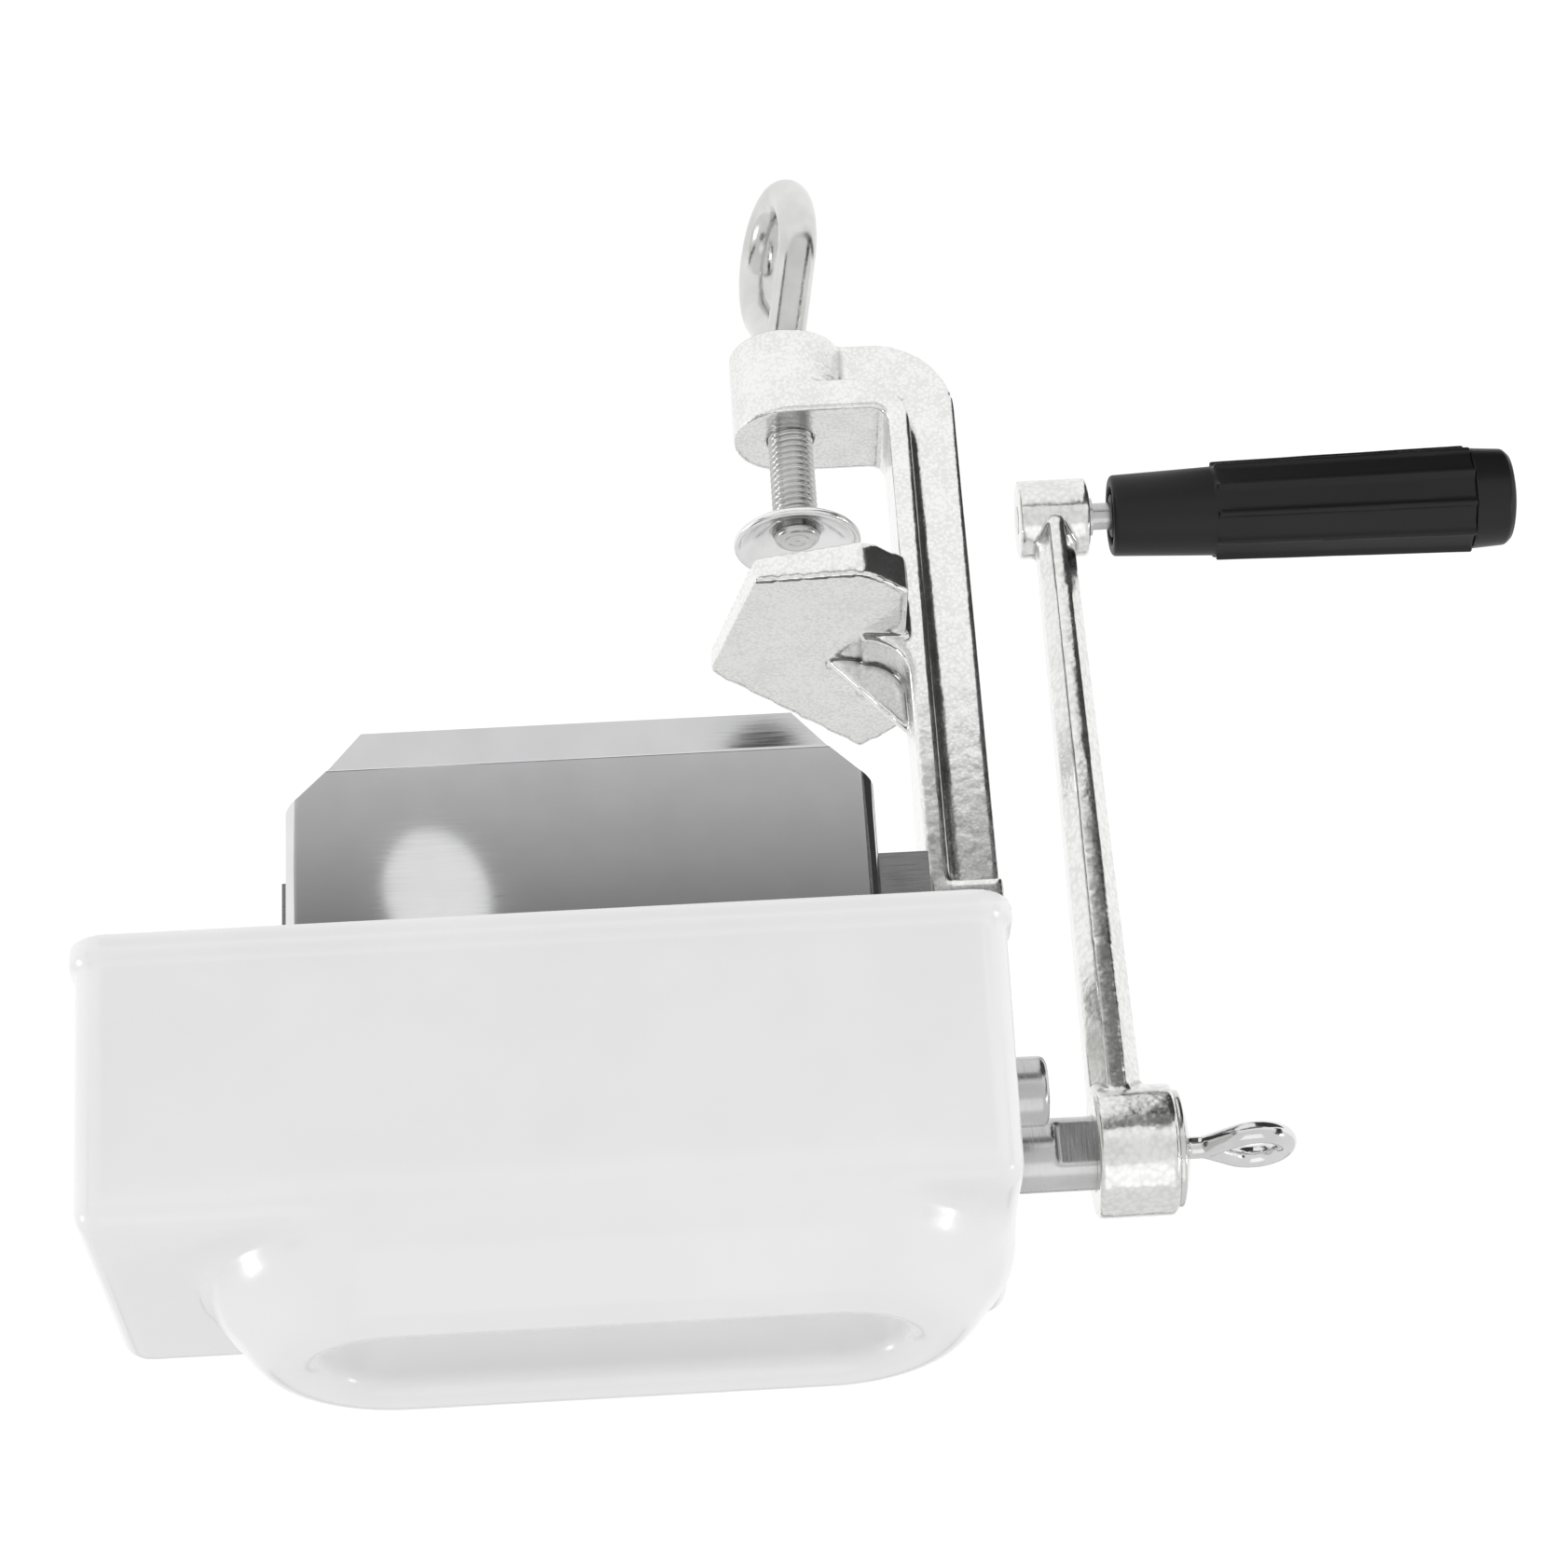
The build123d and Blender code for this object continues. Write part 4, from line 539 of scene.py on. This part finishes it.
def threaded_rod(name, radius, low, high):
    """A right-hand thread along Z with flat crests and rounded roots, run out at the top."""
    bm = bmesh.new()
    rows = []
    count = int((high - low) / (THREAD_PITCH / ROWS_PER_PITCH))
    for k in range(count + 1):
        z = low + (high - low) * k / count
        runout = min(1.0, (high - z) / RUNOUT)
        row = []
        for i in range(THREAD_SEGMENTS):
            turn = i / THREAD_SEGMENTS
            phase = (z / THREAD_PITCH - turn) % 1.0
            from_crest = 1 - abs(2 * phase - 1)
            cut = min(1.0, max(0.0, (from_crest - CREST_SHARE) / FLANK_SHARE))
            cut = cut * cut * (3 - 2 * cut)
            r = radius - THREAD_DEPTH * (cut * runout + (1 - runout) * 0.6)
            row.append(bm.verts.new((r * math.cos(2 * math.pi * turn), r * math.sin(2 * math.pi * turn), z)))
        rows.append(row)
    grid_faces(bm, rows)
    bm.faces.new(rows[0])
    bm.faces.new(rows[-1])
    return mesh_object(name, bm)


boss_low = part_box("clamp_frame")[0].z
pad_low, pad_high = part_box("clamp_pad")
pad_floor = pad_low.z + 1.6 * MM
finish_piece(
    soften(["clamp_screw"], "screw_eye", 0.4 * MM, 4, cut_above=boss_low + 3 * MM),
    "screw", "screw_steel", looks["screw_steel"], "clamp_screw",
)
finish_piece(
    threaded_rod("screw_thread", THREAD_RADIUS, boss_low + 2.5 * MM, pad_low.z - 1.6 * MM),
    "screw", "screw_steel", looks["screw_steel"],
)


# The neck through the pad, the spun-over head on it and the small dimple in the head.
NECK_RADIUS = 3.6 * MM
HEAD_RADIUS = 4.9 * MM
head_low = pad_floor + 0.3 * MM
head_profile = [
    (pad_low.z - 2.0 * MM, 4.0 * MM),
    (pad_low.z - 1.5 * MM, 4.0 * MM),
    (pad_low.z - 1.4 * MM, NECK_RADIUS),
    (head_low - 0.1 * MM, NECK_RADIUS),
    (head_low, HEAD_RADIUS * 0.9),
    (head_low + 0.25 * MM, HEAD_RADIUS * 0.985),
    (head_low + 0.7 * MM, HEAD_RADIUS),
    (head_low + 1.2 * MM, HEAD_RADIUS * 0.97),
    (head_low + 1.6 * MM, HEAD_RADIUS * 0.88),
    (head_low + 1.85 * MM, HEAD_RADIUS * 0.74),
    (head_low + 1.9 * MM, HEAD_RADIUS * 0.62),
    (head_low + 1.75 * MM, HEAD_RADIUS * 0.52),
    (head_low + 1.7 * MM, HEAD_RADIUS * 0.44),
    (head_low + 1.85 * MM, HEAD_RADIUS * 0.34),
    (head_low + 1.95 * MM, HEAD_RADIUS * 0.22),
    (head_low + 1.85 * MM, HEAD_RADIUS * 0.1),
    (head_low + 1.8 * MM, HEAD_RADIUS * 0.02),
]
finish_piece(
    lathe("screw_head", head_profile),
    "screw", "screw_steel", looks["screw_steel"],
)

# The dished pad: its underside outwards, the round rim, and the upper side back to the bore.
PAD_BORE = 4.25 * MM
PAD_RADIUS = 13.8 * MM
PAD_FLAT = 7.0 * MM           # radius of the flat middle, on the underside
PAD_STEPS = 8
pad_outline = [(pad_low.z, PAD_BORE), (pad_low.z, PAD_FLAT)]
for step in range(PAD_STEPS + 1):
    share = step / PAD_STEPS
    r = PAD_FLAT + (PAD_RADIUS - 7.4 * MM) * share
    pad_outline.append((pad_low.z + 3.2 * MM * (0.35 * share + 0.65 * share**2), r))
pad_outline += [(pad_high.z - 1.1 * MM, PAD_RADIUS), (pad_high.z - 0.45 * MM, PAD_RADIUS)]
pad_outline += [(pad_high.z - 0.1 * MM, PAD_RADIUS - 0.25 * MM), (pad_high.z, PAD_RADIUS - 0.6 * MM)]
pad_outline += [(pad_high.z - 0.05 * MM, PAD_RADIUS - 1.0 * MM)]
for step in range(PAD_STEPS + 1):
    share = 1 - step / PAD_STEPS
    r = 6.6 * MM + (PAD_RADIUS - 8.2 * MM) * share
    pad_outline.append((pad_floor + 2.9 * MM * (0.3 * share + 0.7 * share**2), r))
pad_outline.append((pad_floor, PAD_BORE))
finish_piece(
    turned_ring("pad_disc", pad_outline),
    "pad", "pad_steel", looks["pad_steel"], "clamp_pad",
)


# ---------------------------------------------------------------- camera
def look_camera(place, yaw, pitch, roll, focal_length):
    """The camera. Yaw turns it from +Y towards +X, pitch looks down, roll is about the line of sight;
    the object is seen upside down, so the camera's up points down."""
    data = bpy.data.cameras.new("camera")
    data.sensor_width = 36.0
    data.lens = focal_length
    data.clip_start = 0.01
    data.clip_end = 50
    camera = bpy.data.objects.new("camera", data)
    bpy.context.scene.collection.objects.link(camera)
    forward = Vector(
        (math.sin(yaw) * math.cos(pitch), math.cos(yaw) * math.cos(pitch), -math.sin(pitch))
    )
    level = Vector((math.cos(yaw), -math.sin(yaw), 0))
    above = level.cross(forward)
    right = -(level * math.cos(roll) + above * math.sin(roll))
    up = level * math.sin(roll) - above * math.cos(roll)
    turn = Matrix((right, up, -forward)).transposed()
    camera.matrix_world = Matrix.Translation(place) @ turn.to_4x4()
    bpy.context.scene.camera = camera


look_camera(
    Vector((32.9, -735.7, 427.4)) * MM,
    yaw=math.radians(-2.06),
    pitch=math.radians(28.0),
    roll=math.radians(-3.88),
    focal_length=91.434,
)


# ---------------------------------------------------------------- floor, world, cards and lights
def area_light(name, place, target, size, power):
    """A square softbox aimed at a point."""
    data = bpy.data.lights.new(name, "AREA")
    data.size = size
    data.energy = power
    lamp = bpy.data.objects.new(name, data)
    bpy.context.scene.collection.objects.link(lamp)
    lamp.location = place
    aim = (Vector(target) - Vector(place)).normalized()
    lamp.rotation_mode = "QUATERNION"
    lamp.rotation_quaternion = aim.to_track_quat("-Z", "Y")


def emissive(look, strength):
    """Makes a material glow in its own white, so that shadows on it stay faint."""
    look.shader.inputs["Emission Color"].default_value = (1, 1, 1, 1)
    look.shader.inputs["Emission Strength"].default_value = strength


FLOOR_Z = cad_low.z - 21 * MM  # below the clamp screw's eye when the screw is turned all the way down
FLOOR_HALF = 6.0
WORLD_STRENGTH = 0.84
floor_mesh = bmesh.new()
bmesh.ops.create_grid(floor_mesh, x_segments=1, y_segments=1, size=FLOOR_HALF)
floor = mesh_object("floor", floor_mesh)
floor.location.z = FLOOR_Z
floor_look = Look("floor", (0.45, 0.45, 0.45), 0.9)
emissive(floor_look, 0.62)
floor.data.materials.append(floor_look.material)

world = bpy.data.worlds.new("world")
bpy.context.scene.world = world
world.use_nodes = True
world.node_tree.nodes["Background"].inputs["Color"].default_value = (1, 1, 1, 1)
world.node_tree.nodes["Background"].inputs["Strength"].default_value = WORLD_STRENGTH


CARD_TONE = (0.02, 0.02, 0.02)
CARD_Z = cad_low.z / MM + 0.5


def flag(name, corners, look):
    """A studio card with its corners in millimetres, seen in reflections only."""
    bm = bmesh.new()
    bm.faces.new([bm.verts.new(Vector(c) * MM) for c in corners])
    card = mesh_object(name, bm, smooth=False)
    card.data.materials.append(look.material)
    card.visible_camera = False
    card.visible_diffuse = False
    card.visible_shadow = False


def rectangle(low, high):
    """The corners of a card across X, Y or Z, from two opposite corners of it."""
    first, second = [axis for axis in range(3) if low[axis] != high[axis]]
    corners = []
    for at_first, at_second in ((low, low), (high, low), (high, high), (low, high)):
        corner = list(low)
        corner[first] = at_first[first]
        corner[second] = at_second[second]
        corners.append(corner)
    return corners


def ellipse(middle, reach_1, reach_2, count=32):
    """Points on an ellipse from its middle and its two half axes."""
    angles = [2 * math.pi * i / count for i in range(count)]
    return [Vector(middle) + Vector(reach_1) * math.cos(a) + Vector(reach_2) * math.sin(a) for a in angles]


# A grey card on the floor in front, lighter towards the object, for the polished chute and the castings.
graded = Look("graded_card", CARD_TONE, 0.9)
axes = graded.nodes.new("ShaderNodeSeparateXYZ")
graded.links.new(graded.coords, axes.inputs["Vector"])
glow = graded.spread(axes.outputs["Y"], -0.44, -0.29, 0.11, 0.62)
graded.links.new(glow, graded.shader.inputs["Emission Strength"])
graded.shader.inputs["Emission Color"].default_value = (1, 1, 1, 1)
flag("front_card", rectangle((-260, -700, CARD_Z), (330, -285, CARD_Z)), graded)

# A round dark spot and a bright one, which show as soft spots in the chute.
black = Look("black_card", CARD_TONE, 0.9)
flag("camera_lens", ellipse((-10, -735, 324), (15, 0, 0), (0, 0, 15), count=24), black)
lamp_look = Look("lamp_spot", CARD_TONE, 0.9)
emissive(lamp_look, 0.95)
flag("lamp_spot", ellipse((101, -391, CARD_Z + 1), (16, 0, 0), (0, 45, 0)), lamp_look)

# Black cards that give the castings, the cover's corners and the eyes their dark reflections.
flag("crank_floor_card", rectangle((-420, -400, CARD_Z), (-95, 40, CARD_Z)), black)
flag("crank_side_card", rectangle((-560, -330, -110), (-560, -120, 420)), black)
flag("far_side_card", rectangle((640, -420, -110), (640, -260, 380)), black)
flag("back_card", rectangle((-420, 900, 260), (480, 900, 330)), black)

area_light("far_softbox", place=(1.2, 0.08, 0.42), target=(0.05, 0, 0.08), size=0.2, power=1.8)
area_light("crank_softbox", place=(-1.1, -0.25, 0.55), target=(0.0, 0, 0.08), size=0.2, power=1.6)
area_light("overhead", place=(0.05, -0.5, 1.3), target=(0.03, 0, 0.1), size=1.0, power=1.2)

scene = bpy.context.scene
scene.view_settings.view_transform = "Standard"
scene.view_settings.look = "None"
scene.view_settings.exposure = 0.0
